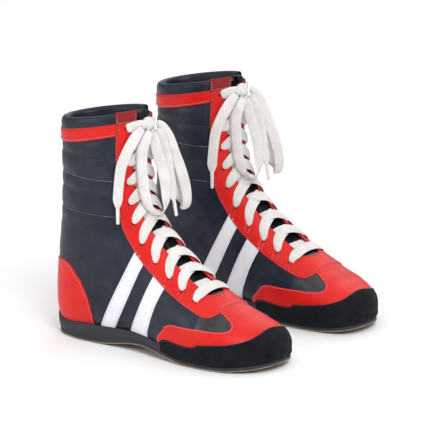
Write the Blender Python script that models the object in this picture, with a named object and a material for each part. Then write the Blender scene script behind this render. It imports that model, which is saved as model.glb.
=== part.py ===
"""A pair of high lace-up boxing boots, as separate panels, linings, soles, tongues and laces.

Each boot is cut around one last, a smooth foot shape. The last is a row of sections: station 0 is
the tip of the toe, station 7 the waist behind the instep and station 12 the collar. Around a
section, 0 is the front or top line, +1 and -1 are the back or bottom line, and positive values
are on the outer side of the foot. Every panel is a patch of (station, around) points at some
height above the last. Lengths are in millimetres until a mesh is made.
"""

import math

import bmesh
import bpy
import numpy as np
from mathutils import Matrix, Vector

MM = 0.001
BOOT_SPACING = 186.0
LEFT_SET_BACK = 8.0
CENTRE_X = 139.6
RIGHT = -1
LEFT = 1

SOLE_THICKNESS = 5.0
WAIST_RISE = 8.5
HEEL_END = 62.0
BALL_START = 200.0
BALL_END = 228.0
TOE_RUN = 64.0
TOE_SPRING = 7.0

LEATHER = 1.3
OVERLAY = 1.2
OVERLAY_HEIGHT = 2.8
GUARD = 1.5
STIFFENER = 1.0
STIFFENER_HEIGHT = -4.4
LINING = 2.0
LINING_HEIGHT = -8.5
TONGUE = 4.0
TONGUE_HEIGHT = -13.5
TONGUE_REACH = 0.24
TONGUE_FOOT = 4.25
COLLAR_RADIUS = 5.0
LACE_TUBE = 1.2
CORD_TUBE = 2.4
AGLET_RADIUS = 2.2
AGLET_LENGTH = 18.0
HOLE_HALF_AROUND = 0.026
HOLE_HALF_LENGTH = 3.4
KNOT = Vector((110.0, 0.0, 248.0))
KNOT_RADII = Vector((5.0, 8.5, 6.0))

# The free ends of the lace, in front of the shaft: where each leaves the knot, and its way down.
FRONT_LOOP = [(119, -7, 243), (118, -12, 234), (115, -16, 220), (116, -17, 198), (119, -17, 176),
              (124, -16, 160), (130, -10, 151), (134, -3, 153), (135, 1, 163), (133, 3, 180),
              (129, 3, 198), (124, 1, 216), (121, -1, 230), (119.5, -2, 241)]
REAR_LOOP = [(116, 9.5, 249), (121, 14, 244), (127, 17, 232), (133, 20, 214), (139, 23, 196),
             (143, 26, 177), (144, 28, 160), (140, 30, 151), (134, 31, 154), (130, 29, 168),
             (127, 26, 186), (122, 22, 206), (116, 17, 226), (112.5, 13, 240)]
OUTER_TAIL = [(113, -12, 246), (110, -21, 237), (105, -29, 222), (100, -34, 205), (98, -36, 188),
              (97, -37, 172), (97, -37, 159)]
FRONT_TAIL = [(120, 4, 243), (122, 8, 235), (125, 10, 222), (129, 11, 206), (132, 12, 188),
              (134, 14, 172), (135, 15, 163)]

# front x, front z, back x, back z, half width, height of the widest place, power of the upper
# half, power of the lower half, sideways shift towards the inner side
LAST = np.array([
    (285.0, 20.5, 285.0, 20.5, 0.0, 0.45, 2.0, 2.2, 6.0),
    (281.0, 32.0, 281.0, 12.8, 22.0, 0.42, 2.1, 3.0, 5.0),
    (269.0, 42.7, 268.0, 9.8, 37.0, 0.40, 2.2, 3.8, 2.0),
    (248.0, 52.2, 243.0, 7.4, 46.0, 0.38, 2.2, 4.4, -2.0),
    (214.0, 68.2, 205.0, 6.8, 49.0, 0.36, 2.1, 4.4, -3.0),
    (181.0, 89.0, 158.0, 12.6, 45.0, 0.36, 2.0, 4.2, -2.0),
    (151.0, 113.2, 108.0, 14.6, 38.0, 0.38, 2.0, 3.6, 0.0),
    (127.0, 139.2, 56.0, 9.0, 36.0, 0.42, 2.0, 3.2, 0.0),
    (113.0, 163.2, 4.0, 14.6, 37.0, 0.46, 2.1, 2.6, 0.0),
    (106.0, 189.2, -1.0, 87.2, 38.0, 0.50, 2.1, 2.2, 0.0),
    (104.0, 215.2, 5.0, 151.2, 39.0, 0.50, 2.1, 2.1, 0.0),
    (104.0, 239.2, 5.0, 198.2, 39.0, 0.50, 2.1, 2.1, 0.0),
    (105.0, 261.2, 4.0, 242.2, 38.5, 0.50, 2.1, 2.1, 0.0),
])
COLLAR = len(LAST) - 1.0

# stations of the eleven pairs of lace holes, and how far around they sit
LACE_ROWS = (4.45, 4.95, 5.5, 6.15, 6.9, 7.65, 8.35, 9.05, 9.8, 10.6, 11.4)
ROW_AROUND = (0.205, 0.215, 0.225, 0.23, 0.22, 0.195, 0.18, 0.175, 0.175, 0.175, 0.175)

# The panels' edges, as (station, around) points on the outer side.
BOTTOM_COLUMNS = (-0.76, -0.71, -0.66, -0.60, -0.52, -0.42, -0.28, -0.14, 0.0,
                  0.14, 0.28, 0.42, 0.52, 0.60, 0.66, 0.71, 0.76)
GUARD_EDGE = [(1.9, 0.0), (1.88, 0.16), (2.03, 0.28), (2.37, 0.36), (2.85, 0.42), (3.42, 0.47),
              (4.05, 0.52), (4.45, 0.56), (4.72, 0.61), (4.86, 0.66), (4.88, 0.71)]
OVERLAY_EDGE = [(3.52, 0.0), (3.5, 0.09), (3.25, 0.15), (3.02, 0.215), (3.08, 0.28), (3.35, 0.33),
                (3.89, 0.375), (4.46, 0.43), (4.85, 0.475), (5.05, 0.52), (5.1, 0.6), (5.02, 0.66)]
RAND_TOP = [(5.1, 0.70), (5.8, 0.715), (6.5, 0.725), (7.0, 0.73), (7.4, 0.745), (7.8, 0.80),
            (8.12, 0.88), (8.2, 1.0)]
RAND_FOOT = [(5.1, 0.76), (5.8, 0.775), (6.5, 0.79), (7.0, 0.80), (7.4, 0.815), (7.8, 0.86),
             (8.0, 0.93), (8.04, 1.0)]
HEEL_PATCH_LOWER = [(7.08, 0.72), (7.4, 0.73), (7.8, 0.78), (8.14, 0.865), (8.24, 1.0)]
HEEL_PATCH_UPPER = [(7.14, 0.66), (7.32, 0.6), (7.55, 0.545), (7.85, 0.533), (8.13, 0.545),
                    (8.46, 0.6), (8.72, 0.7), (8.88, 0.84), (8.93, 1.0)]
COUNTER_FRONT = [(8.75, 0.66), (8.2, 0.56), (7.8, 0.54), (7.5, 0.58), (7.4, 0.65)]
COUNTER_BACK = [(8.75, 1.0), (8.62, 1.0), (8.48, 1.0)]
REAR_STRIPE = (((6.93, 0.305), (6.84, 0.47), (6.84, 0.70)),
               ((6.45, 0.315), (6.37, 0.48), (6.42, 0.70)))
FRONT_STRIPE = (((5.96, 0.315), (5.93, 0.476), (5.96, 0.69)),
                ((5.43, 0.31), (5.44, 0.44), (5.42, 0.68)))
BACKSTAY_HALF = 0.045
BACKSTAY_ENDS = (9.0, 11.58)
# the quarters' edge along the throat, and the eyestay's two edges
THROAT = 0.255
EYESTAY_INNER = 0.09
EYESTAY_OUTER_INSTEP = 0.292
EYESTAY_OUTER_SHAFT = 0.262

# material name: colour, roughness
NAVY = ("navy_leather", (0.012, 0.016, 0.032), 0.35)
RED = ("red_leather", (0.62, 0.02, 0.015), 0.4)
WHITE = ("white_leather", (0.82, 0.84, 0.88), 0.45)
TONGUE_LEATHER = ("tongue_leather", (0.006, 0.006, 0.008), 0.5)
SUEDE = ("black_suede", (0.006, 0.006, 0.007), 0.9)
LINING_CLOTH = ("lining_cloth", (0.015, 0.018, 0.03), 0.9)
LACE_COTTON = ("lace_cotton", (0.82, 0.8, 0.76), 0.85)
AGLET_PLASTIC = ("aglet_plastic", (0.85, 0.84, 0.8), 0.3)
SOLE_LEATHER = ("sole_leather", (0.42, 0.3, 0.19), 0.7)
RAND_RUBBER = ("rand_rubber", (0.012, 0.012, 0.013), 0.7)
BOARD = ("insole_board", (0.35, 0.25, 0.16), 0.85)


def section(station):
    """The values of LAST at a station, on one smooth curve through its rows."""
    i = int(min(max(math.floor(station), 0), len(LAST) - 2))
    t = station - i
    before = LAST[max(i - 1, 0)]
    start = LAST[i]
    end = LAST[i + 1]
    after = LAST[min(i + 2, len(LAST) - 1)]
    start_slope = end - start if i == 0 else (end - before) / 2
    end_slope = end - start if i == len(LAST) - 2 else (after - start) / 2
    if t > 1:
        return end + end_slope * (t - 1)
    return (
        (2 * t**3 - 3 * t**2 + 1) * start
        + (t**3 - 2 * t**2 + t) * start_slope
        + (3 * t**2 - 2 * t**3) * end
        + (t**3 - t**2) * end_slope
    )


def on_last(station, around):
    """A point of the last, for the right foot. Values past 1 go on round the back."""
    if around > 1:
        around -= 2
    front_x, front_z, back_x, back_z, half, widest, upper, lower, shift = section(station)
    angle = abs(around) * math.pi
    power = 2 / (upper if angle < math.pi / 2 else lower)
    along = math.copysign(abs(math.cos(angle)) ** power, math.cos(angle))
    height = widest + along * ((1 - widest) if along > 0 else widest)
    across = half * abs(math.sin(angle)) ** power
    return Vector((
        back_x + (front_x - back_x) * height,
        shift - math.copysign(across, around),
        back_z + (front_z - back_z) * height,
    ))


def normal(station, around):
    """The last's outward direction there."""
    station = max(station, 0.06)
    step = 0.02
    along = on_last(station + step, around) - on_last(station - step, around)
    turn = on_last(station, around + step) - on_last(station, around - step)
    return along.cross(turn).normalized()


def above(station, around, height, side):
    """A point at a height above the last of the boot on that side."""
    point = on_last(station, around) + normal(station, around) * height
    if side == LEFT:
        point.y = -point.y
    return point


def spaced(first, last, count):
    return [first + (last - first) * i / (count - 1) for i in range(count)]


def along_path(path, count):
    """That many (station, around) points, evenly spaced on a smooth curve through a path."""
    points = [Vector(p) for p in path]
    result = []
    for t in spaced(0, len(points) - 1, count):
        i = min(int(t), len(points) - 2)
        f = t - i
        before = points[max(i - 1, 0)]
        after = points[min(i + 2, len(points) - 1)]
        start_slope = (points[i + 1] - before) / 2
        end_slope = (after - points[i]) / 2
        result.append(
            points[i] * (2 * f**3 - 3 * f**2 + 1)
            + start_slope * (f**3 - 2 * f**2 + f)
            + points[i + 1] * (3 * f**2 - 2 * f**3)
            + end_slope * (f**3 - f**2)
        )
    return result


def between(lower, upper, rows):
    """Rows of points that go from one edge of a panel to the other."""
    return [[a.lerp(b, t) for a, b in zip(lower, upper)] for t in spaced(0, 1, rows)]


def mirrored(points):
    return [Vector((p[0], -p[1])) for p in reversed(points)]


def material(look):
    name, colour, roughness = look
    found = bpy.data.materials.get(name)
    if found:
        return found
    found = bpy.data.materials.new(name)
    found.use_nodes = True
    shader = found.node_tree.nodes["Principled BSDF"]
    shader.inputs["Base Color"].default_value = (*colour, 1)
    shader.inputs["Roughness"].default_value = roughness
    shader.inputs["Metallic"].default_value = 0
    found.diffuse_color = (*colour, 1)
    return found


def add(name, data, look, boot, pivot):
    """An object of the boot, with its origin at the pivot, where its points already count from."""
    data.materials.append(material(look))
    obj = bpy.data.objects.new(name, data)
    obj.location = pivot * MM
    obj.parent = boot
    bpy.context.scene.collection.objects.link(obj)
    return obj


def mesh_from(bm, name):
    mesh = bpy.data.meshes.new(name)
    bm.to_mesh(mesh)
    bm.free()
    mesh.shade_smooth()
    mesh.set_sharp_from_angle(angle=math.radians(40))
    return mesh


def panel(name, rows, height, thickness, look, boot, side, holes=(), pivot=Vector()):
    """A sheet of leather on the last: a grid of points, some cells left out, thickened outwards."""
    bm = bmesh.new()
    grid = [
        [bm.verts.new((above(p[0], p[1], height, side) - pivot) * MM) for p in row]
        for row in rows
    ]
    for i in range(len(rows) - 1):
        for j in range(len(rows[0]) - 1):
            if (i, j) not in holes:
                bm.faces.new((grid[i][j], grid[i + 1][j], grid[i + 1][j + 1], grid[i][j + 1]))
    bmesh.ops.remove_doubles(bm, verts=bm.verts, dist=0.01 * MM)
    bm.faces.ensure_lookup_table()
    bm.normal_update()
    p = rows[len(rows) // 2][len(rows[0]) // 2]
    probe = above(p[0], p[1], height, side)
    outward = above(p[0], p[1], height + 1, side) - probe
    nearest = min(bm.faces, key=lambda f: (f.calc_center_median() / MM + pivot - probe).length)
    if nearest.normal.dot(outward) < 0:
        bmesh.ops.reverse_faces(bm, faces=bm.faces)
    obj = add(name, mesh_from(bm, name), look, boot, pivot)
    solid = obj.modifiers.new("thickness", "SOLIDIFY")
    solid.thickness = thickness * MM
    solid.offset = 1
    return obj


def low_edge(station):
    """How far around a panel goes: to the sole along the foot, to the back line up the heel."""
    t = min(max((station - 7.75) / 0.5, 0), 1)
    return 0.80 + (0.996 - 0.80) * t * t * (3 - 2 * t)


def top_edge(around):
    """The station just under the padded collar."""
    return COLLAR - 0.28 + 0.13 * min(abs(around), 1)


def floor_rise(x):
    """Height of the underside of the sole: flat under heel and ball, raised at waist and toe."""
    if HEEL_END < x < BALL_START:
        return WAIST_RISE * math.sin(math.pi * (x - HEEL_END) / (BALL_START - HEEL_END)) ** 2
    if x > BALL_END:
        return TOE_SPRING * ((x - BALL_END) / TOE_RUN) ** 2
    return 0.0


def sole_outline(spread, side):
    """The outline of the bottom of the foot, grown outwards by a distance."""
    stations = [0.0, 0.5, 1.0, 2.0, 3.0, 4.0, 5.0, 5.5, 6.0, 6.5, 7.0, 7.5]
    half = [(s, 0.68) for s in stations] + [(7.85, 0.8), (8.05, 0.9), (8.1, 1.0)]
    loop = half + [(s, -a) for s, a in reversed(half[1:-1])]
    points = [on_last(s, a).to_2d() for s, a in loop]
    grown = []
    for i, p in enumerate(points):
        run = points[(i + 1) % len(points)] - points[i - 1]
        grown.append(p + Vector((run.y, -run.x)).normalized() * -spread)
    if side == LEFT:
        grown = [Vector((p.x, -p.y)) for p in grown]
    return grown


def slab(name, spread, bottom, thickness, look, boot, side):
    """A flat piece of the bottom of the boot that follows the sole's rise."""
    outline = sole_outline(spread, side)
    bm = bmesh.new()
    lower = [bm.verts.new(Vector((p.x, p.y, bottom)) * MM) for p in outline]
    face = bm.faces.new(lower)
    for x in spaced(HEEL_END, BALL_START, 7) + spaced(BALL_END, BALL_END + 44, 3):
        bmesh.ops.bisect_plane(
            bm,
            geom=bm.verts[:] + bm.edges[:] + bm.faces[:],
            plane_co=Vector((x, 0, 0)) * MM,
            plane_no=Vector((1, 0, 0)),
        )
    upper = bmesh.ops.extrude_face_region(bm, geom=bm.faces[:])["geom"]
    for vert in [g for g in upper if isinstance(g, bmesh.types.BMVert)]:
        vert.co.z += thickness * MM
    for vert in bm.verts:
        vert.co.z += floor_rise(vert.co.x / MM) * MM
    bmesh.ops.recalc_face_normals(bm, faces=bm.faces)
    return add(name, mesh_from(bm, name), look, boot, Vector())


def vamp(boot, side, prefix):
    rows = [[(s, a) for a in BOTTOM_COLUMNS] for s in spaced(0.25, 3.95, 7)]
    panel(prefix + "vamp", rows, 0, LEATHER, NAVY, boot, side)


def quarter(boot, side, prefix, name, sign):
    """One half of the shaft and the side of the foot below it."""
    rows = []
    for s in spaced(4.08, COLLAR, 13):
        around = spaced(THROAT, low_edge(s), 9)
        rows.append([(min(s, top_edge(a)), sign * a) for a in around])
    panel(prefix + name, rows, 0, LEATHER, NAVY, boot, side)


def lining(boot, side, prefix):
    """The padded lining, one half for each side of the foot, meeting at the back line."""
    rows = []
    for s in spaced(1.0, COLLAR, 12):
        start = 0.0 if s < 3.7 else THROAT
        end = low_edge(s) - (0.02 if s < 8 else 0)
        rows.append((s, start, end))
    for sign, name in ((1, "lining_outer"), (-1, "lining_inner")):
        grid = []
        for s, start, end in rows:
            grid.append([(min(s, top_edge(a) - 0.02), sign * a) for a in spaced(start, end, 6)])
        panel(prefix + name, grid, LINING_HEIGHT, LINING, LINING_CLOTH, boot, side)


def heel_counter(boot, side, prefix):
    """The stiffener between the leather and the lining, round the heel."""
    front = along_path(COUNTER_FRONT, 6)
    back = along_path(COUNTER_BACK, 6)
    half = [[f.lerp(b, t) for t in spaced(0, 1, 4)] for f, b in zip(front, back)]
    rows = [round_the_back(row) for row in half]
    panel(prefix + "heel_counter", rows, STIFFENER_HEIGHT, STIFFENER, BOARD, boot, side)


def toe_guard(boot, side, prefix):
    edge = [Vector(p) for p in GUARD_EDGE]
    loop = mirrored(edge[1:]) + edge
    tip = [Vector((0.0, p[1])) for p in loop]
    panel(prefix + "toe_guard", between(tip, loop, 8), OVERLAY_HEIGHT, GUARD, SUEDE, boot, side)


def toe_overlay(boot, side, prefix):
    """The red cap over the toes, with a wing down each side."""
    lower = [Vector((p[0] + 0.06, p[1])) for p in along_path(GUARD_EDGE[:10], 13)]
    upper = along_path(OVERLAY_EDGE, 13)
    rows = between(mirrored(lower[1:]) + lower, mirrored(upper[1:]) + upper, 4)
    panel(prefix + "toe_overlay", rows, OVERLAY_HEIGHT, OVERLAY, RED, boot, side)


def round_the_back(half):
    """A row of points up to the back line, carried on round the other side."""
    return list(half) + [Vector((p[0], 2 - p[1])) for p in reversed(half[:-1])]


def heel_patch(boot, side, prefix):
    """The red leather over the back of the heel."""
    edges = (along_path(HEEL_PATCH_LOWER, 10), along_path(HEEL_PATCH_UPPER, 10))
    rows = [round_the_back(row) for row in between(*edges, 5)]
    panel(prefix + "heel_patch", rows, OVERLAY_HEIGHT, OVERLAY, RED, boot, side)


def rand(boot, side, prefix):
    """The black strip that joins the upper to the sole round the heel and waist."""
    edges = (along_path(RAND_FOOT, 12), along_path(RAND_TOP, 12))
    rows = [round_the_back(edge) for edge in edges]
    panel(prefix + "rand", rows, OVERLAY_HEIGHT, GUARD, RAND_RUBBER, boot, side)


def collar(boot, side, prefix):
    """The red band below the collar, and the padded roll along the top."""
    around = spaced(0.275, 1.725, 15)
    folded = [min(a, 2 - a) for a in around]
    lower = [Vector((11.1 + 0.55 * f, a)) for f, a in zip(folded, around)]
    upper = [Vector((top_edge(f) - 0.03, a)) for f, a in zip(folded, around)]
    panel(prefix + "collar_band", between(lower, upper, 2), OVERLAY_HEIGHT, OVERLAY, RED, boot, side)
    points = [above(COLLAR, a, -1.5, side) for a in spaced(0.285, 1.715, 15)]
    tube(prefix + "collar_roll", points, COLLAR_RADIUS, 2, NAVY, boot, Vector())


def backstay(boot, side, prefix):
    """The narrow strip over the seam up the back of the shaft."""
    across = (1 - BACKSTAY_HALF, 1.0, 1 + BACKSTAY_HALF)
    rows = [[(s, a) for a in across] for s in spaced(*BACKSTAY_ENDS, 6)]
    panel(prefix + "backstay", rows, OVERLAY_HEIGHT, OVERLAY, RED, boot, side)


def stripes(boot, side, prefix):
    """Two slanted stripes on each side of the foot, from the eyestay to the sole."""
    for sign, face in ((1, "outer"), (-1, "inner")):
        for edges, place in ((REAR_STRIPE, "rear"), (FRONT_STRIPE, "front")):
            long_edges = [along_path([(s, sign * a) for s, a in edge], 5) for edge in edges]
            rows = between(long_edges[0], long_edges[1], 3)
            name = f"{prefix}stripe_{face}_{place}"
            panel(name, rows, OVERLAY_HEIGHT, OVERLAY, WHITE, boot, side)


def eyestay(boot, side, prefix):
    """The red strip round the throat, with a row of lace holes up each leg."""
    leg = []
    holes = []
    for row, around in zip(LACE_ROWS, ROW_AROUND):
        station_length = (on_last(row + 0.5, around) - on_last(row - 0.5, around)).length
        half = HOLE_HALF_LENGTH / station_length
        leg += [(row - half, around), (row + half, around)]
        holes.append(2 * len(holes))
    leg.append((COLLAR + 0.12, 0.175))
    side_rows = []
    for s, around in leg:
        up_the_ankle = min(max((s - 6.5) / 1.5, 0), 1)
        outer = EYESTAY_OUTER_INSTEP + (EYESTAY_OUTER_SHAFT - EYESTAY_OUTER_INSTEP) * up_the_ankle
        hole = (around - HOLE_HALF_AROUND, around + HOLE_HALF_AROUND)
        side_rows.append([Vector((s, a)) for a in (EYESTAY_INNER, *hole, outer)])
    # three rows of points round the foot of the throat, from its edge outwards
    turn = [
        [Vector((4.27, 0.095)), Vector((4.1, 0.16)), Vector((3.98, 0.215)), Vector((3.92, 0.265))],
        [Vector((4.2, 0.05)), Vector((3.98, 0.09)), Vector((3.82, 0.12)), Vector((3.62, 0.165))],
        [Vector((4.17, 0.0)), Vector((3.95, 0.0)), Vector((3.78, 0.0)), Vector((3.58, 0.0))],
    ]
    half = turn[::-1] + side_rows
    other = [[Vector((p.x, -p.y)) for p in row] for row in half[1:]]
    rows = other[::-1] + half
    middle = len(other)
    left_out = set()
    for index in holes:
        left_out.add((middle + len(turn) + index, 1))
        left_out.add((middle - len(turn) - index - 1, 1))
    panel(prefix + "eyestay", rows, OVERLAY_HEIGHT, OVERLAY, RED, boot, side, holes=left_out)


def tongue(boot, side, prefix):
    """The padded tongue behind the laces. It turns on its seam at the foot of the throat."""
    pivot = above(TONGUE_FOOT, 0.0, TONGUE_HEIGHT + TONGUE / 2, side)
    across = spaced(-TONGUE_REACH, TONGUE_REACH, 5)
    rows = [[(s, a) for a in across] for s in spaced(TONGUE_FOOT, COLLAR + 0.3, 12)]
    name = prefix + "tongue"
    panel(name, rows, TONGUE_HEIGHT, TONGUE, TONGUE_LEATHER, boot, side, pivot=pivot)


def tube(name, points, radius, resolution, look, boot, pivot):
    curve = bpy.data.curves.new(name, "CURVE")
    curve.dimensions = "3D"
    curve.bevel_depth = radius * MM
    curve.bevel_resolution = resolution
    curve.use_fill_caps = True
    spline = curve.splines.new("POLY")
    spline.points.add(len(points) - 1)
    for place, point in zip(spline.points, points):
        place.co = (*((point - pivot) * MM), 1)
    return add(name, curve, look, boot, pivot)


def lace(boot, side, prefix):
    """The laced part: a bar across the lowest row, then crossings up to the knot."""
    below = 0.9
    over = 6.6
    middle = {1: 6.2, -1: 2.0}
    sides = []
    for hand in (1, -1):
        sign = hand
        route = [(LACE_ROWS[0], 0.0, over), (LACE_ROWS[0], sign * 0.1, over),
                 (LACE_ROWS[0], sign * ROW_AROUND[0], over - 0.8),
                 (LACE_ROWS[0], sign * ROW_AROUND[0], below)]
        for i in range(len(LACE_ROWS) - 1):
            start = LACE_ROWS[i]
            run = LACE_ROWS[i + 1] - start
            if i == 0:
                route.append((start + run * 0.25, sign * 0.11, below - 0.4))
                route.append((start + run * 0.5, 0.0, hand * 1.6 - 1.2))
                route.append((start + run * 0.75, -sign * 0.11, below - 0.4))
            else:
                route.append((start + run * 0.25, sign * 0.09, over))
                route.append((start + run * 0.5, 0.0, middle[hand]))
                route.append((start + run * 0.75, -sign * 0.09, below - 0.6))
            sign = -sign
            end = LACE_ROWS[i + 1]
            route.append((end, sign * ROW_AROUND[i + 1], below))
            route.append((end, sign * ROW_AROUND[i + 1], over - 0.8))
        route.append((LACE_ROWS[-1] + 0.05, sign * 0.088, over + 0.4))
        sides.append([above(s, a, h, side) for s, a, h in route])
    points = sides[0][:0:-1] + sides[1]
    tube(prefix + "lace", points, LACE_TUBE, 0, LACE_COTTON, boot, Vector())


def bow(boot, side, prefix):
    """The knot, and the two loops and two tipped tails that hang from it and swing outwards."""
    bm = bmesh.new()
    bmesh.ops.create_uvsphere(bm, u_segments=10, v_segments=6, radius=MM)
    bmesh.ops.scale(bm, vec=KNOT_RADII, verts=bm.verts)
    add(prefix + "knot", mesh_from(bm, prefix + "knot"), LACE_COTTON, boot, KNOT)
    for name, route in (("front_loop", FRONT_LOOP), ("rear_loop", REAR_LOOP)):
        points = along_path(route, 20)
        tube(prefix + name, points, CORD_TUBE, 2, LACE_COTTON, boot, KNOT)
    for name, route in (("outer_tail", OUTER_TAIL), ("front_tail", FRONT_TAIL)):
        points = along_path(route, 10)
        tube(prefix + name, points, CORD_TUBE, 2, LACE_COTTON, boot, KNOT)
        aglet(prefix + name.replace("tail", "aglet"), points, boot)


def aglet(name, points, boot):
    """The stiff tip on a tail, in line with its last stretch."""
    run = (points[-1] - points[-2]).normalized()
    start = points[-1] + run * 0.4
    bm = bmesh.new()
    turn = Vector((0, 0, 1)).rotation_difference(run).to_matrix().to_4x4()
    place = Matrix.Translation((start + run * AGLET_LENGTH / 2 - KNOT) * MM) @ turn
    bmesh.ops.create_cone(
        bm, cap_ends=True, segments=8, radius1=AGLET_RADIUS * MM, radius2=AGLET_RADIUS * 0.8 * MM,
        depth=AGLET_LENGTH * MM, matrix=place)
    add(name, mesh_from(bm, name), AGLET_PLASTIC, boot, KNOT)


def build_boot(side):
    prefix = "right_" if side == RIGHT else "left_"
    boot = bpy.data.objects.new(prefix + "boot", None)
    boot.location = (-CENTRE_X * MM, side * BOOT_SPACING / 2 * MM, 0)
    if side == LEFT:
        boot.location.x -= LEFT_SET_BACK * MM
    bpy.context.scene.collection.objects.link(boot)
    slab(prefix + "outsole", 4.0, 0, SOLE_THICKNESS, SOLE_LEATHER, boot, side)
    slab(prefix + "insole_board", -9.0, SOLE_THICKNESS + 0.4, 1.5, BOARD, boot, side)
    slab(prefix + "sockliner", -11.0, SOLE_THICKNESS + 2.3, 2.5, LINING_CLOTH, boot, side)
    vamp(boot, side, prefix)
    quarter(boot, side, prefix, "quarter_outer", 1)
    quarter(boot, side, prefix, "quarter_inner", -1)
    lining(boot, side, prefix)
    heel_counter(boot, side, prefix)
    toe_guard(boot, side, prefix)
    toe_overlay(boot, side, prefix)
    heel_patch(boot, side, prefix)
    rand(boot, side, prefix)
    collar(boot, side, prefix)
    backstay(boot, side, prefix)
    stripes(boot, side, prefix)
    eyestay(boot, side, prefix)
    tongue(boot, side, prefix)
    lace(boot, side, prefix)
    bow(boot, side, prefix)


for obj in list(bpy.data.objects):
    bpy.data.objects.remove(obj)
for foot in (RIGHT, LEFT):
    build_boot(foot)
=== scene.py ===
"""The looks of a pair of lace-up boxing boots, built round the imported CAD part.

The boots are cut round the same last as the CAD: station 0 is the tip of the toe and 12 the
collar, around 0 is the front or top line and +1 or -1 the back or bottom line, positive on the
outer side of the foot. Lengths are in millimetres until a mesh is made.
"""

import math

import bpy
import numpy as np
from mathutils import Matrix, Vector


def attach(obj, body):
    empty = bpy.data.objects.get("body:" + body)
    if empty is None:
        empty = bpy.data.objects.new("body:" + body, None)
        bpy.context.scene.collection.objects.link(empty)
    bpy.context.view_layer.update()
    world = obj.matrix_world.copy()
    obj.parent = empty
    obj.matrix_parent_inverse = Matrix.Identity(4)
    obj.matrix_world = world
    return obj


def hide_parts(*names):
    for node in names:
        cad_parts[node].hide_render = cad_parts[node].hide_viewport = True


MM = 0.001
RIGHT = -1
LEFT = 1
HEEL_X = -139.6
LEFT_STEP_BACK = 8.0
HALF_GAP = 93.0

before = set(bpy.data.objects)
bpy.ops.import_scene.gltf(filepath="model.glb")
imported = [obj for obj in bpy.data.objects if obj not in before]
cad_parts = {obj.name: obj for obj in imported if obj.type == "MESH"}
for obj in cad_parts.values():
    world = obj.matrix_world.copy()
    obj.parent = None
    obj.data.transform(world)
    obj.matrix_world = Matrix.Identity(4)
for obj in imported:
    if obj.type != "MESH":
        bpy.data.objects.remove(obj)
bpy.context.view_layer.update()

# ---------------------------------------------------------------- the last

LAST = np.array([
    (285.0, 20.5, 285.0, 20.5, 0.0, 0.45, 2.0, 2.2, 6.0),
    (281.0, 32.0, 281.0, 12.8, 22.0, 0.42, 2.1, 3.0, 5.0),
    (269.0, 42.7, 268.0, 9.8, 37.0, 0.40, 2.2, 3.8, 2.0),
    (248.0, 52.2, 243.0, 7.4, 46.0, 0.38, 2.2, 4.4, -2.0),
    (214.0, 68.2, 205.0, 6.8, 49.0, 0.36, 2.1, 4.4, -3.0),
    (181.0, 89.0, 158.0, 12.6, 45.0, 0.36, 2.0, 4.2, -2.0),
    (151.0, 113.2, 108.0, 14.6, 38.0, 0.38, 2.0, 3.6, 0.0),
    (127.0, 139.2, 56.0, 9.0, 36.0, 0.42, 2.0, 3.2, 0.0),
    (113.0, 163.2, 4.0, 14.6, 37.0, 0.46, 2.1, 2.6, 0.0),
    (106.0, 189.2, -1.0, 87.2, 38.0, 0.50, 2.1, 2.2, 0.0),
    (104.0, 215.2, 5.0, 151.2, 39.0, 0.50, 2.1, 2.1, 0.0),
    (104.0, 239.2, 5.0, 198.2, 39.0, 0.50, 2.1, 2.1, 0.0),
    (105.0, 261.2, 4.0, 242.2, 38.5, 0.50, 2.1, 2.1, 0.0),
])
COLLAR = 12.0
SEAM_INSET = 1.9
LACE_ROWS = (4.45, 4.95, 5.5, 6.15, 6.9, 7.65, 8.35, 9.05, 9.8, 10.6, 11.4)
ROW_AROUND = (0.205, 0.215, 0.225, 0.23, 0.22, 0.195, 0.18, 0.175, 0.175, 0.175, 0.175)
KNOT = np.array([110.0, 0.0, 248.0])
FRONT_LOOP = [(119, -7, 243), (118, -12, 234), (115, -16, 220), (116, -17, 198), (119, -17, 176),
              (124, -16, 160), (130, -10, 151), (134, -3, 153), (135, 1, 163), (133, 3, 180),
              (129, 3, 198), (124, 1, 216), (121, -1, 230), (119.5, -2, 241)]
REAR_LOOP = [(116, 9.5, 249), (121, 14, 244), (127, 17, 232), (133, 20, 214), (139, 23, 196),
             (143, 26, 177), (144, 28, 160), (140, 30, 151), (134, 31, 154), (130, 29, 168),
             (127, 26, 186), (122, 22, 206), (116, 17, 226), (112.5, 13, 240)]
OUTER_TAIL = [(113, -12, 246), (110, -21, 237), (105, -29, 222), (100, -34, 205), (98, -36, 188),
              (97, -37, 172), (97, -37, 159)]
FRONT_TAIL = [(120, 4, 243), (122, 8, 235), (125, 10, 222), (129, 11, 206), (132, 12, 188),
              (134, 14, 172), (135, 15, 163)]


def hermite(values, t):
    """A smooth curve through rows of values, at parameters t counted in rows."""
    t = np.asarray(t, float)
    last = len(values) - 1
    i = np.clip(np.floor(t).astype(int), 0, last - 1)
    f = (t - i)[..., None]
    start = values[i]
    end = values[i + 1]
    before = values[np.maximum(i - 1, 0)]
    after = values[np.minimum(i + 2, last)]
    start_slope = np.where((i == 0)[..., None], end - start, (end - before) / 2)
    end_slope = np.where((i == last - 1)[..., None], end - start, (after - start) / 2)
    inside = ((2 * f**3 - 3 * f**2 + 1) * start + (f**3 - 2 * f**2 + f) * start_slope
              + (3 * f**2 - 2 * f**3) * end + (f**3 - f**2) * end_slope)
    return np.where(f > 1, end + end_slope * (f - 1), inside)


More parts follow.
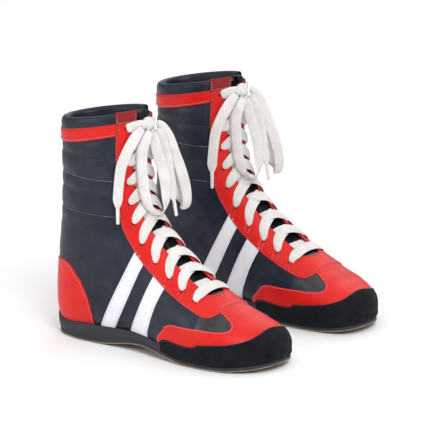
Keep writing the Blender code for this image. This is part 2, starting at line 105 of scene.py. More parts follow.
def on_last(s, a):
    """Points of the last at stations s and places a around it."""
    s, a = np.broadcast_arrays(np.asarray(s, float), np.asarray(a, float))
    a = np.where(a > 1, a - 2, a)
    row = hermite(LAST, s)
    front_x, front_z, back_x, back_z, half, widest, upper, lower, shift = np.moveaxis(row, -1, 0)
    angle = np.abs(a) * math.pi
    power = 2 / np.where(angle < math.pi / 2, upper, lower)
    cosine = np.cos(angle)
    along = np.sign(cosine) * np.abs(cosine) ** power
    height = widest + along * np.where(along > 0, 1 - widest, widest)
    across = half * np.abs(np.sin(angle)) ** power
    return np.stack([
        back_x + (front_x - back_x) * height,
        shift - np.copysign(across, a),
        back_z + (front_z - back_z) * height,
    ], axis=-1)


def unit(v):
    return v / np.maximum(np.linalg.norm(v, axis=-1, keepdims=True), 1e-9)


def normals_of(s, a):
    """Outward directions of the last."""
    s = np.maximum(np.asarray(s, float), 0.06)
    step = 0.02
    along = on_last(s + step, a) - on_last(s - step, a)
    turn = on_last(s, np.asarray(a) + step) - on_last(s, np.asarray(a) - step)
    return unit(np.cross(along, turn))


class Boot:
    """One boot: where it stands and how the last's points get there."""

    def __init__(self, side):
        self.side = side
        self.near = 1 if side == RIGHT else -1
        self.prefix = "right_" if side == RIGHT else "left_"
        step_back = LEFT_STEP_BACK if side == LEFT else 0.0
        self.origin = np.array([HEEL_X - step_back, side * HALF_GAP, 0.0])

    def flip(self, points):
        """Points of the right last, turned into this boot's."""
        return points * np.array([1.0, -self.side, 1.0]) if self.side == LEFT else points

    def on(self, s, a, height=0.0):
        point = on_last(s, a) + normals_of(s, a) * np.asarray(height, float)[..., None]
        return self.flip(point) + self.origin

    def normal(self, s, a):
        return self.flip(normals_of(s, a))


# ---------------------------------------------------------------- mesh helpers

def smooth_noise(points, size, seed):
    """Gentle unevenness from -1 to 1: a few waves that cross each other."""
    draw = np.random.RandomState(seed)
    total = 0
    for _ in range(7):
        wave = draw.normal(size=3)
        wave *= 2 * math.pi / (size * draw.uniform(0.6, 1.6)) / np.linalg.norm(wave)
        total = total + np.sin(points @ wave + draw.uniform(0, 6.28))
    return total / 4


def make(boot, name, shape, look, body="boot", replaces=()):
    """An object from points in millimetres, quads and uv, riding on one of the boot's bodies."""
    verts, quads, uv = shape
    name = boot.prefix + name
    quads = np.asarray(quads, int).reshape(-1, 4)
    mesh = bpy.data.meshes.new(name)
    mesh.vertices.add(len(verts))
    mesh.vertices.foreach_set("co", (np.asarray(verts) * MM).astype(np.float32).ravel())
    mesh.loops.add(quads.size)
    mesh.loops.foreach_set("vertex_index", quads.ravel())
    mesh.polygons.add(len(quads))
    mesh.polygons.foreach_set("loop_start", np.arange(len(quads)) * 4)
    mesh.update(calc_edges=True)
    if uv is not None:
        layer = mesh.uv_layers.new(name="UVMap")
        layer.data.foreach_set("uv", np.asarray(uv)[quads.ravel()].astype(np.float32).ravel())
    mesh.validate()
    mesh.shade_smooth()
    obj = bpy.data.objects.new(name, mesh)
    mesh.materials.append(look)
    bpy.context.scene.collection.objects.link(obj)
    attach(obj, boot.prefix + body)
    if replaces:
        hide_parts(*(boot.prefix + node for node in replaces))
    return obj


def ring_quads(rows, columns):
    """Quads between rings of points that each close on themselves."""
    index = np.arange(rows * columns).reshape(rows, columns)
    after = np.roll(index, -1, axis=1)
    return np.stack([index[:-1], index[1:], after[1:], after[:-1]], -1).reshape(-1, 4)


def grid_quads(rows, columns, first=0, flip=False):
    index = first + np.arange(rows * columns).reshape(rows, columns)
    quads = np.stack([index[:-1, :-1], index[1:, :-1], index[1:, 1:], index[:-1, 1:]], -1)
    quads = quads.reshape(-1, 4)
    return quads[:, ::-1] if flip else quads


def marks(length, step, fine=True):
    """Parameters from 0 to 1 with extra lines near both ends, for rounded and stitched edges."""
    near = np.array([0, 0.1, 0.3, 0.6, 1.0, 1.5, 1.9, 2.3, 2.8]) if fine else np.array([0.0])
    near = near[near < length * 0.45]
    middle = np.linspace(near[-1], length - near[-1], max(int(length / step), 2) + 1)[1:-1]
    return np.concatenate([near, middle, (length - near)[::-1]]) / length


def run_length(points, axis):
    """Length run from the first point of each line, along one axis of a grid."""
    step = np.linalg.norm(np.diff(points, axis=axis), axis=-1)
    start = np.zeros_like(np.take(step, [0], axis=axis))
    return np.concatenate([start, np.cumsum(step, axis=axis)], axis=axis)


def edge_distance(points, edges):
    """How far each point of a grid is from the edges: F first row, L last row, S start, E end."""
    down = run_length(points, 0)
    across = run_length(points, 1)
    found = np.full(points.shape[:2], 1e3)
    for letter, value in (("F", down), ("L", down[-1:] - down), ("S", across),
                          ("E", across[:, -1:] - across)):
        if letter in edges:
            found = np.minimum(found, value)
    return found


def rounded(distance, radius):
    t = np.clip(distance / radius, 0, 1)
    return np.sqrt(np.maximum(1 - (1 - t) ** 2, 0))


def panel(boot, name, s, a, sheet, look, edges="FLSE", puff=None, groove=0.28, radius=0.8,
          body="boot", replaces=(), closed=False, rumple=0.12, seed=1):
    """A sheet on the last with rounded edges and a stitched groove just inside them."""
    low, thick = sheet
    s, a = np.broadcast_arrays(np.asarray(s, float), np.asarray(a, float))
    base = boot.on(s, a, low + thick)
    distance = edge_distance(base, edges)
    height = low + thick * rounded(distance, radius)
    height = height - groove * np.exp(-((distance - SEAM_INSET) / 0.42) ** 2)
    inner = np.clip((distance - 3) / 6, 0, 1)
    height = height + rumple * smooth_noise(base, 14, seed) * inner
    if puff is not None:
        height = height + puff(base - boot.origin, s, a, distance)
    top = boot.on(s, a, height)
    bottom = boot.on(s, a, np.full(s.shape, float(low)))
    rows, columns = s.shape
    i, j = rows // 2, columns // 2
    facing = np.cross(top[i + 1, j] - top[i, j], top[i, j + 1] - top[i, j])
    flip = facing @ boot.normal(s[i, j], a[i, j]) < 0
    count = rows * columns
    quads = [grid_quads(rows, columns, 0, flip)]
    index = np.arange(count).reshape(rows, columns)
    ring = np.concatenate([index[0, :-1], index[:-1, -1], index[-1, :0:-1], index[:0:-1, 0]])
    if closed:
        quads.append(grid_quads(rows, columns, count, not flip))
        verts = np.concatenate([top.reshape(-1, 3), bottom.reshape(-1, 3)])
        low_ring = ring + count
    else:
        verts = np.concatenate([top.reshape(-1, 3), bottom.reshape(-1, 3)[ring]])
        low_ring = count + np.arange(len(ring))
    after = np.roll(np.arange(len(ring)), -1)
    skirt = np.stack([ring, ring[after], low_ring[after], low_ring], -1)
    quads.append(skirt if flip else skirt[:, ::-1])
    return make(boot, name, (verts, np.concatenate(quads), None), look, body, replaces)


def sampled(wanted, places, values):
    """Rows of values, read at other places than their own."""
    return np.stack([np.interp(wanted, places, column) for column in values.T], -1)


def match(points, count):
    """Points along an edge at equal steps of the list, so that two edges stay paired."""
    points = np.asarray(points, float)
    before = 2 * points[:1] - points[1:2]
    after = 2 * points[-1:] - points[-2:-1]
    padded = np.concatenate([before, points, after])
    return hermite(padded, np.linspace(0, len(points) - 1, count) + 1)


STATION_MM = 24.0
AROUND_MM = 110.0


def path(points, count):
    """Evenly spaced points on a smooth curve through these."""
    curve = match(points, 40 * len(points))
    scale = np.array([STATION_MM, AROUND_MM]) if curve.shape[1] == 2 else 1.0
    run = run_length(curve * scale, 0)
    return sampled(np.linspace(0, run[-1], count), run, curve)


def across(edge_one, edge_two, count, step, boot, fine_along=True):
    """A grid from one edge of a panel to the other, each given as (station, around) points."""
    one = path(edge_one, count)
    two = path(edge_two, count)
    middle = boot.on((one[:, 0] + two[:, 0]) / 2, (one[:, 1] + two[:, 1]) / 2)
    length = run_length(middle, 0)[-1]
    t = marks(length, step, fine_along)
    base = np.linspace(0, 1, count)
    one = sampled(t, base, one)
    two = sampled(t, base, two)
    width = np.linalg.norm(boot.on(one[:, 0], one[:, 1]) - boot.on(two[:, 0], two[:, 1]), axis=-1)
    u = marks(max(np.median(width), 4), step)
    grid = one[:, None] + (two - one)[:, None] * u[None, :, None]
    return grid[..., 0], grid[..., 1]


def tube_mesh(centre, side_way, out_way, half_width, half_thick, sides=14, square=2.6, cup=0.0):
    """Points and quads of a closed ribbon or tube along a centre line, and its uv in mm."""
    n = len(centre)
    half_width = np.broadcast_to(half_width, n)
    half_thick = np.broadcast_to(half_thick, n)
    angle = np.linspace(0, 2 * math.pi, sides, endpoint=False)
    x = np.sign(np.cos(angle)) * np.abs(np.cos(angle)) ** (2 / square)
    y = np.sign(np.sin(angle)) * np.abs(np.sin(angle)) ** (2 / square)
    bend = -np.broadcast_to(cup, n)[:, None] * (x**2)[None, :]
    ring = (centre[:, None] + side_way[:, None] * (half_width[:, None] * x)[..., None]
            + out_way[:, None] * (half_thick[:, None] * y + bend)[..., None])
    run = run_length(centre, 0)
    around = half_width[:, None] * x[None, :]
    uv = np.stack([around, np.broadcast_to(run[:, None], around.shape)], -1).reshape(-1, 2)
    caps = []
    for end, row in enumerate((0, n - 1)):
        ids = row * sides + np.arange(sides)
        for k in range(0, sides - 1, 2):
            cap = [n * sides + end, ids[k], ids[(k + 1) % sides], ids[(k + 2) % sides]]
            caps.append(cap if row else cap[::-1])
    verts = np.concatenate([ring.reshape(-1, 3), centre[[0, n - 1]]])
    uv = np.concatenate([uv, np.zeros((2, 2))])
    quads = np.concatenate([ring_quads(n, sides), np.array(caps)])
    crossing = np.cross(centre[1] - centre[0], side_way[0]) @ out_way[0]
    return verts, quads if crossing > 0 else quads[:, ::-1], uv


def joined(parts):
    """Several meshes as one."""
    verts, quads, uvs = [], [], []
    start = 0
    for v, q, uv in parts:
        verts.append(v)
        quads.append(q + start)
        uvs.append(uv)
        start += len(v)
    return np.concatenate(verts), np.concatenate(quads), np.concatenate(uvs)


def tangents(points):
    return unit(np.gradient(points, axis=0))


def smooth_rows(values, times):
    for _ in range(times):
        inner = (values[:-2] + 2 * values[1:-1] + values[2:]) / 4
        values = np.concatenate([values[:1], inner, values[-1:]])
    return values


def stitches(lines, pitch=2.9, length=2.1, radius=0.33):
    """Thread stitches along lines of points with their outward directions."""
    parts = []
    t = np.array([-1.0, -0.82, -0.35, 0.35, 0.82, 1.0])
    lift = np.array([-0.9, -0.2, 0.35, 0.35, -0.2, -0.9]) * radius
    fat = np.array([0.4, 0.9, 1.0, 1.0, 0.9, 0.4]) * radius
    for points, outward in lines:
        run = run_length(points, 0)
        places = np.arange(pitch / 2, run[-1] - pitch / 2, pitch)
        if not len(places):
            continue
        centre = sampled(places, run, points)
        out = unit(sampled(places, run, outward))
        way = unit(sampled(places, run, tangents(points)))
        side = unit(np.cross(out, way))
        angle = np.linspace(0, 2 * math.pi, len(t), endpoint=False)
        c = np.cos(angle)
        d = np.sin(angle)
        verts = (centre[:, None, None]
                 + way[:, None, None] * (t * length / 2)[None, :, None, None]
                 + out[:, None, None] * (lift[:, None] + fat[:, None] * d[None])[None, ..., None]
                 + side[:, None, None] * (fat[:, None] * c[None])[None, ..., None])
        first = np.arange(len(places))[:, None, None] * len(t) ** 2
        quads = (ring_quads(len(t), len(t))[None] + first).reshape(-1, 4)
        flat = verts.reshape(-1, 3)
        parts.append((flat, quads[:, ::-1], np.zeros((len(flat), 2))))
    return joined(parts)


# ---------------------------------------------------------------- materials

class Look:
    """A node material, built a few nodes at a time."""

    def __init__(self, name):
        self.material = bpy.data.materials.new(name)
        self.material.use_nodes = True
        self.tree = self.material.node_tree
        self.shader = self.tree.nodes["Principled BSDF"]

    def node(self, kind, **values):
        found = self.tree.nodes.new(kind)
        for key, value in values.items():
            if key.startswith("in_"):
                found.inputs[key[3:].replace("_", " ")].default_value = value
            else:
                setattr(found, key, value)
        return found

    def link(self, out, into):
        self.tree.links.new(out, into)

    def put(self, **values):
        for key, value in values.items():
            self.shader.inputs[key.replace("_", " ")].default_value = value

    def coords(self, uv=False):
        return self.node("ShaderNodeTexCoord").outputs["UV" if uv else "Object"]

    def noise(self, coords, scale, detail=4.0, rough=0.55, stretch=None):
        if stretch:
            mapping = self.node("ShaderNodeMapping")
            mapping.inputs["Scale"].default_value = stretch
            self.link(coords, mapping.inputs["Vector"])
            coords = mapping.outputs["Vector"]
        found = self.node("ShaderNodeTexNoise", in_Scale=scale, in_Detail=detail,
                          in_Roughness=rough)
        self.link(coords, found.inputs["Vector"])
        return found.outputs["Fac"]

    def voronoi(self, coords, scale, feature="DISTANCE_TO_EDGE"):
        found = self.node("ShaderNodeTexVoronoi", feature=feature, in_Scale=scale)
        self.link(coords, found.inputs["Vector"])
        return found.outputs["Distance"]

    def ramp(self, value, low, high, out_low=0.0, out_high=1.0):
        found = self.node("ShaderNodeMapRange", in_From_Min=low, in_From_Max=high,
                          in_To_Min=out_low, in_To_Max=out_high)
        self.link(value, found.inputs["Value"])
        return found.outputs["Result"]

    def math(self, how, one, two):
        found = self.node("ShaderNodeMath", operation=how)
        for socket, value in zip(found.inputs, (one, two)):
            if isinstance(value, (int, float)):
                socket.default_value = value
            else:
                self.link(value, socket)
        return found.outputs["Value"]

    def mix(self, factor, one, two):
        found = self.node("ShaderNodeMix", data_type="RGBA")
        self.link(factor, found.inputs["Factor"])
        found.inputs["A"].default_value = (*one, 1)
        found.inputs["B"].default_value = (*two, 1)
        return found.outputs["Result"]

    def share(self, one, one_share, two, two_share):
        """Two values, each times its share, added up."""
        return self.math("ADD", self.math("MULTIPLY", one, one_share),
                         self.math("MULTIPLY", two, two_share))

    def bump(self, height, distance, strength=1.0, after=None):
        found = self.node("ShaderNodeBump", in_Strength=strength, in_Distance=distance)
        self.link(height, found.inputs["Height"])
        if after is not None:
            self.link(after, found.inputs["Normal"])
        return found.outputs["Normal"]

    def tint(self, value, low, high, dark, light):
        """The colour: dark at the low value and light at the high one."""
        mixed = self.mix(self.ramp(value, low, high), dark, light)
        self.link(mixed, self.shader.inputs["Base Color"])

    def relief(self, *words):
        self.link(self.bump(*words), self.shader.inputs["Normal"])

    def polish(self, value, low, high):
        """The roughness, from low to high over the middle of the value."""
        self.link(self.ramp(value, 0.3, 0.7, low, high), self.shader.inputs["Roughness"])


def leather(name, dark, light, rough=(0.3, 0.5), grain=900.0, depth=0.00006, crease=0.0004,
            coat=0.0, specular=0.3):
    look = Look(name)
    c = look.coords()
    patches = look.noise(c, 28, 5, 0.6)
    look.tint(patches, 0.35, 0.68, dark, light)
    look.polish(look.noise(c, 45, 4), *rough)
    pebbles = look.ramp(look.voronoi(c, grain), 0.0, 0.18)
    pores = look.noise(c, grain * 2.2, 3)
    height = look.share(pebbles, 0.6, pores, 0.5)
    folds = look.bump(look.noise(c, 55, 3, 0.5, (1, 1, 0.45)), crease, 0.5)
    look.relief(height, depth, 0.8, folds)
    look.put(Coat_Weight=coat, Coat_Roughness=0.3, Specular_IOR_Level=specular)
    return look.material


def suede(name, dark, light):
    look = Look(name)
    c = look.coords()
    nap = look.noise(c, 1600, 4, 0.7)
    brushed = look.noise(c, 60, 4, 0.6)
    look.tint(look.share(nap, 0.45, brushed, 0.6), 0.38, 0.68, dark, light)
    look.relief(nap, 0.00025, 0.9)
    look.put(Roughness=0.95, Specular_IOR_Level=0.1, Sheen_Weight=0.1, Sheen_Roughness=0.5,
             Sheen_Tint=(0.35, 0.38, 0.45, 1))
    return look.material


RIB_TURNS = 2 * math.pi / 1.7


def weave(name, dark, light, pitch=0.75, uv=True, depth=0.00022, sheen=0.25, ribs=0.0):
    """A woven tape or cloth: warp and weft waves, read along the piece's own length in mm."""
    look = Look(name)
    c = look.coords(uv)
    scale = 1.0 if uv else 1000.0
    split = look.node("ShaderNodeSeparateXYZ")
    look.link(c, split.inputs["Vector"])
    x = look.math("MULTIPLY", split.outputs["X"], scale * 2 * math.pi / pitch)
    y = look.math("MULTIPLY", split.outputs["Y" if uv else "Z"], scale * 2 * math.pi / pitch)
    slant = look.math("ADD", x, look.math("MULTIPLY", y, 0.5))
    warp = look.math("SINE", slant, 0.0)
    weft = look.math("SINE", look.math("SUBTRACT", y, look.math("MULTIPLY", x, 0.5)), 0.0)
    cloth = look.math("MULTIPLY", warp, weft)
    rib = look.math("SINE", look.math("MULTIPLY", split.outputs["X"], scale * RIB_TURNS), 0.0)
    rib = look.math("MULTIPLY", rib, ribs)
    fuzz = look.noise(look.coords(), 900, 4, 0.7)
    height = look.math("ADD", look.math("ADD", cloth, look.math("MULTIPLY", fuzz, 1.2)),
                       look.math("MULTIPLY", rib, 2.4))
    # The colour is darker in the dips of the weave and of the ribs, which is painted shade, plus
    # random tone from the noise.
    shade = look.math("ADD", look.math("MULTIPLY", cloth, 0.16),
                      look.noise(look.coords(), 90, 4, 0.6))
    shade = look.math("ADD", shade, look.math("MULTIPLY", rib, 0.12))
    look.tint(shade, 0.25, 0.75, dark, light)
    look.relief(height, depth, 0.7)
    look.put(Roughness=0.88, Specular_IOR_Level=0.25, Sheen_Weight=sheen, Sheen_Roughness=0.4)
    return look.material


def sole_look(name, dark, light, rough):
    look = Look(name)
    c = look.coords()
    speck = look.noise(c, 420, 5, 0.65)
    worn = look.noise(c, 35, 5, 0.6)
    look.tint(look.share(speck, 0.5, worn, 0.5), 0.4, 0.62, dark, light)
    look.relief(speck, 0.0002, 0.8)
    look.polish(worn, rough - 0.1, rough + 0.08)
    return look.material


def plastic(name, colour):
    look = Look(name)
    c = look.coords()
    haze = look.noise(c, 300, 3)
    look.link(look.mix(haze, tuple(v * 0.88 for v in colour), colour),
              look.shader.inputs["Base Color"])
    look.polish(haze, 0.18, 0.34)
    look.put(Subsurface_Weight=0.15, Coat_Weight=0.4, Coat_Roughness=0.1)
    look.shader.inputs["Subsurface Radius"].default_value = (0.002, 0.002, 0.002)
    return look.material


NAVY = leather("navy leather", (0.0055, 0.0085, 0.020), (0.020, 0.026, 0.042), (0.32, 0.5),
               specular=0.3, crease=0.0011)
# Navy leather with a random mottled tone. Its lighter grey patches are painted sheen.
VAMP_NAVY_WITH_SHEEN = leather("vamp leather", (0.008, 0.010, 0.016), (0.058, 0.063, 0.070), (0.24, 0.42),
                    coat=0.14, crease=0.0016)
RED = leather("red leather", (0.60, 0.0075, 0.0055), (0.72, 0.012, 0.008), (0.34, 0.48),
              specular=0.28)
# Red leather painted darker: painted shade on the heads of the eyestay legs, which roll away from
# the light.
SHADED_RED = leather("red leather in painted shade", (0.22, 0.007, 0.009), (0.32, 0.011, 0.012), (0.42, 0.55))
WHITE = leather("white leather", (0.78, 0.79, 0.84), (0.88, 0.885, 0.92), (0.42, 0.58),
                depth=0.00004)
BLACK = leather("tongue leather", (0.005, 0.005, 0.007), (0.010, 0.010, 0.013), (0.4, 0.58),
                specular=0.2)
SUEDE = suede("black suede", (0.0045, 0.005, 0.007), (0.013, 0.0145, 0.018))
LACE = weave("lace cotton", (0.81, 0.785, 0.76), (0.98, 0.965, 0.945), ribs=0.8)
LINING = weave("lining cloth", (0.012, 0.014, 0.022), (0.03, 0.034, 0.048), 1.1, False)


def thread(name, dark, light):
    return weave(name + " thread", dark, light, 0.5, False)


THREAD_RED = thread("red", (0.45, 0.03, 0.03), (0.62, 0.07, 0.06))
THREAD_PALE = thread("pale", (0.40, 0.25, 0.26), (0.62, 0.45, 0.45))
THREAD_ROSE = thread("rose", (0.50, 0.10, 0.10), (0.70, 0.22, 0.21))
# A lighter grey copy of the quilting thread: painted highlight.
THREAD_HIGHLIGHT = thread("highlit", (0.16, 0.18, 0.22), (0.34, 0.37, 0.42))
# Navy thread: real on the toe guard seam, painted shade on the quilt lines at 210 and 170.
THREAD_NAVY_AND_SHADE = thread("navy", (0.03, 0.036, 0.055), (0.06, 0.07, 0.10))
THREAD_WHITE = thread("white", (0.60, 0.62, 0.68), (0.78, 0.8, 0.86))
RUBBER = sole_look("black sole rubber", (0.008, 0.011, 0.016), (0.020, 0.025, 0.033), 0.6)
TREAD = sole_look("sole leather", (0.16, 0.12, 0.085), (0.34, 0.27, 0.20), 0.75)
BOARD = sole_look("insole board", (0.26, 0.17, 0.10), (0.40, 0.28, 0.18), 0.8)
AGLET = plastic("aglet plastic", (0.80, 0.79, 0.78))
HOLE = suede("hole shade", (0.012, 0.004, 0.004), (0.03, 0.008, 0.008))

# ---------------------------------------------------------------- camera

LENS_MM = 453.1
AWAY = 6.0
TARGET = Vector((-0.0116, 0.008, 0.1262))
BACK = Vector((0.5678, -0.7814, 0.2588))
camera_data = bpy.data.cameras.new("camera")
camera_data.lens = LENS_MM
camera_data.sensor_width = 36.0
camera_data.clip_end = 50.0
camera = bpy.data.objects.new("camera", camera_data)
camera.location = TARGET + BACK * AWAY
camera.rotation_euler = BACK.to_track_quat("Z", "Y").to_euler()
bpy.context.scene.collection.objects.link(camera)
bpy.context.scene.camera = camera

# ---------------------------------------------------------------- free laces

LACE_WIDTH = 12.0
LACE_THICK = 1.5
AGLET_LENGTH = 18.0
AGLET_RADIUS = 2.05


def square_to(way, out):
    """The part of each outward direction that is square to the way along."""
    return unit(out - way * np.sum(out * way, -1, keepdims=True))


def ribbon_frame(points, facing):
    """Side and outward directions of a ribbon that faces the given way at each point."""
    way = tangents(points)
    out = square_to(way, unit(smooth_rows(square_to(way, facing), 12)))
    return unit(np.cross(way, out)), out


def free_loop(boot, name, route, tilt, seed):
    """A loop of the bow: flat lace that turns over at its lowest point."""
    count = 110
    points = path(route, count)
    middle = points.mean(axis=0)
    t = np.linspace(0, 1, count)
    lowest = t[np.argmin(points[:, 2])]
    bottom = np.exp(-((t - lowest) / 0.13) ** 2)
    face = np.array(tilt, float)
    outward = unit(points - middle)
    facing = face * (1 - 0.88 * bottom)[:, None] + outward * (0.18 + 0.8 * bottom)[:, None]
    side, out = ribbon_frame(points, facing)
    end = np.minimum(np.clip(t / 0.10, 0, 1), np.clip((1 - t) / 0.10, 0, 1))
    width = LACE_WIDTH / 2 * (0.45 + 0.55 * np.sqrt(end)) * (1 - 0.06 * bottom)
    cup = 0.7 + 0.2 * np.sin(np.linspace(0, 9, count) + seed)
    centre = points + boot.origin
    shape = tube_mesh(centre, side, out, width, LACE_THICK / 2, 18, 3.0, cup)
    make(boot, name + "_lace", shape, LACE, name + "_body", [name])


def free_tail(boot, name, route, tilt, seed):
    """A tail of the bow: flat lace, gathered into its tip."""
    count = 90
    points = path(route, count)
    t = np.linspace(0, 1, count)
    facing = np.tile(np.array(tilt, float), (count, 1))
    facing += 0.25 * np.stack([np.sin(5 * t + seed), np.cos(4 * t + seed), 0 * t], -1)
    side, out = ribbon_frame(points, facing)
    start = np.clip(t / 0.14, 0, 1)
    run = run_length(points, 0)
    left = run[-1] - run
    gather = np.clip(left / 11.0, 0, 1)
    neck = 0.36 + 0.64 * np.sin(gather * math.pi / 2)
    width = LACE_WIDTH / 2 * (0.5 + 0.5 * np.sqrt(start)) * neck
    thick = LACE_THICK / 2 * (1 + 1.0 * (1 - gather))
    centre = points + boot.origin
    shape = tube_mesh(centre, side, out, width, thick, 18, 3.0, 0.8 * gather)
    obj = make(boot, name + "_lace", shape, LACE, name + "_body", [name])
    way = unit(points[-1] - points[-6])
    aglet = aglet_tip(boot, name, centre[-1], way, side[-1])


def aglet_tip(boot, name, end, way, side):
    """The plastic tip of a tail: a tube with two crimps that narrows to a rounded end."""
    count = 40
    along = np.linspace(-1.5, AGLET_LENGTH + 0.4, count)
    spine = end + way * along[:, None]
    radius = AGLET_RADIUS
    for crimp in (2.0, 4.5):
        radius = radius - 0.12 * np.exp(-((along - crimp) / 0.5) ** 2)
    radius = radius * (1 - 0.12 * along / AGLET_LENGTH)
    radius = radius * np.sqrt(np.clip((AGLET_LENGTH + 0.9 - along) / 1.2, 0, 1))
    side_way = np.tile(side, (count, 1))
    out_way = unit(np.cross(np.tile(way, (count, 1)), side_way))
    verts, quads, _ = tube_mesh(spine, side_way, out_way, radius, radius * 0.85, 20, 2.2)
    node = name.replace("tail", "aglet")
    return make(boot, node + "_tip", (verts, quads, None), AGLET, name + "_body", [node])


def free_laces(boot):
    free_loop(boot, "front_loop", FRONT_LOOP, (0.62, -0.75, 0.10), 0.3)
    free_loop(boot, "rear_loop", REAR_LOOP, (0.70, -0.66, 0.10), 2.0)
    free_tail(boot, "outer_tail", OUTER_TAIL, (0.45, -0.88, 0.10), 0.6)
    free_tail(boot, "front_tail", FRONT_TAIL, (0.75, -0.62, 0.10), 2.4)


# ---------------------------------------------------------------- the laced part and the knot

def strand(boot, route, width_line, fold=0.0):
    """A stretch of flat lace over the leather; route is (station, around, height)."""
    count = 56
    r = path3(route, count)
    centre = boot.on(r[:, 0], r[:, 1], r[:, 2])
    outward = boot.normal(r[:, 0], r[:, 1])
    plan = np.gradient(boot.on(r[:, 0], r[:, 1]), axis=0)
    total = plan.sum(axis=0)
    plan = unit(smooth_rows(plan + total[None] * 0.02, 20))
    side = unit(np.cross(plan, outward))
    way = tangents(centre)
    out = unit(np.cross(side, way))
    out = np.where(np.sum(np.cross(side, way) * outward, -1, keepdims=True).mean() < 0, -out, out)
    t = np.linspace(0, 1, count)
    width = np.interp(t, *width_line) * LACE_WIDTH / 2
    thick = LACE_THICK / 2 * (1 + 0.8 * (1 - width / (LACE_WIDTH / 2)))
    pinch = 0.5 + 1.5 * fold * np.exp(-((t - 0.07) / 0.09) ** 2)
    return tube_mesh(centre, side, out, width, thick, 24, 2.8, pinch)


def path3(route, count):
    """Evenly spaced (station, around, height) points along a route."""
    scale = np.array([STATION_MM, AROUND_MM, 1.0])
    scaled = path(np.array(route) * scale, count)
    return scaled / scale


def under_near(steep):
    """From a hole on the wearer's right: up along the leg, then under the strand that crosses."""
    return [(-0.01, 1.0, -1.0), (0.0, 0.99, 2.4), (0.03 + 0.09 * steep, 0.90, 4.0),
            (0.08 + 0.24 * steep, 0.74, 4.5), (0.16 + 0.32 * steep, 0.53, 3.9),
            (0.34 + 0.26 * steep, 0.24, 1.8), (0.55 + 0.17 * steep, -0.10, 0.6),
            (0.84, -0.55, -1.0), (0.94, -0.9, -1.8)]


def over_far(steep):
    """From a hole on the wearer's left: over the leg and the tongue, then under the other leg."""
    return [(-0.01, 1.0, -1.0), (0.0, 0.99, 2.4), (0.02 + 0.04 * steep, 0.90, 4.1),
            (0.06 + 0.12 * steep, 0.70, 4.8), (0.16 + 0.20 * steep, 0.36, 4.9),
            (0.40 + 0.14 * steep, -0.01, 4.9), (0.62 + 0.06 * steep, -0.30, 3.6),
            (0.80, -0.55, 0.1), (0.94, -0.9, -1.8)]


def hidden_start():
    """From the ends of the first bar, under both legs."""
    return [(0.1, 0.9, -1.6), (0.35, 0.5, -1.4), (0.5, 0.01, -0.4), (0.65, -0.5, -1.4),
            (0.95, -0.95, -1.6)]


def laced(boot):
    """The first bar, two crossing strands up to each next row, and the ends at the knot."""
    parts = []
    first = LACE_ROWS[0]
    reach = ROW_AROUND[0]
    bar = [(first - 0.02, -reach, -1.0), (first - 0.02, -reach + 0.004, 2.4),
           (first, -reach + 0.03, 4.2), (first + 0.02, -0.09, 4.6), (first + 0.03, 0.0, 4.4),
           (first + 0.02, 0.09, 4.6), (first, reach - 0.03, 4.2),
           (first - 0.02, reach - 0.004, 2.4), (first - 0.02, reach, -1.0)]
    parts.append(strand(boot, bar, ([0, 0.08, 0.2, 0.8, 0.92, 1], [0.5, 0.6, 1, 1, 0.6, 0.5])))
    for i in range(len(LACE_ROWS) - 1):
        start = LACE_ROWS[i]
        run = LACE_ROWS[i + 1] - start
        steep = float(np.interp(start, [6.2, 8.6], [1.0, 0.0]))
        for hand in (1, -1):
            a0 = hand * ROW_AROUND[i]
            a1 = -hand * ROW_AROUND[i + 1]
            over = under_near(steep) if hand == boot.near else over_far(steep)
            if i == 0:
                over = hidden_start()
            route = [(start + run * along, a0 * share if share > 0 else -a1 * share, height)
                     for along, share, height in over]
            line = ([0, 0.3, 0.7, 1], [0.8, 0.95, 0.95, 0.7])
            if i > 0:
                line = ([0, 0.06, 0.16, 0.28, 0.8, 1], [0.40, 0.52, 0.82, 1, 1, 0.6])
            parts.append(strand(boot, route, line, 0.0 if i == 0 else 1.0))
    top = LACE_ROWS[-1]
    reach = ROW_AROUND[-1]
    for sign in (1, -1):
        route = [(top, sign * reach, -1.0), (top, sign * (reach - 0.003), 2.6),
                 (top + 0.02, sign * (reach - 0.02), 4.6), (top + 0.05, sign * 0.13, 5.6),
                 (top + 0.10, sign * 0.08, 6.4), (top + 0.12, sign * 0.03, 7.0)]
        line = ([0, 0.1, 0.3, 0.6, 1], [0.5, 0.65, 0.98, 0.95, 0.6])
        parts.append(strand(boot, route, line))
    make(boot, "laced_part", joined(parts), LACE, replaces=["lace"])


def knot(boot):
    """The knot: a gathered core with the lace wrapped over it twice."""
    parts = []
    count = 40
    t = np.linspace(0, 1, count)
    span = np.linspace(-9.5, 9.5, count)
    fat = np.sqrt(np.clip(1 - (span / 10.2) ** 2, 0.05, 1))
    centre = boot.origin + KNOT + np.stack([1.5 * fat - 1, span, -1.0 + 1.2 * np.sin(t * 6)], -1)
    side = np.tile([0.0, 0.0, 1.0], (count, 1))
    out = np.tile([1.0, 0.0, 0.0], (count, 1))
    parts.append(tube_mesh(centre, side, out, 6.3 * fat, 4.3 * fat, 22, 2.3))
    for lean, offset, wide, reach in ((0.25, 0.0, 5.0, 1.0), (-0.5, 2.0, 3.6, 0.93)):
        turn = np.linspace(-2.3, 2.5, 70)
        x = 5.6 * reach * np.cos(turn)
        z = 7.4 * reach * np.sin(turn)
        y = offset + lean * z
        points = boot.origin + KNOT + np.stack([x, y, z - 0.6], -1)
        outward = unit(np.stack([np.cos(turn) / 5.6, 0 * turn, np.sin(turn) / 7.4], -1))
        way = tangents(points)
        outward = square_to(way, outward)
        side = unit(np.cross(way, outward))
        width = wide * (0.75 + 0.25 * np.cos(turn))
        parts.append(tube_mesh(points, side, outward, width, 1.0, 18, 3.0, 0.7))
    make(boot, "bow_knot", joined(parts), LACE, replaces=["knot"])


# ---------------------------------------------------------------- leather panels

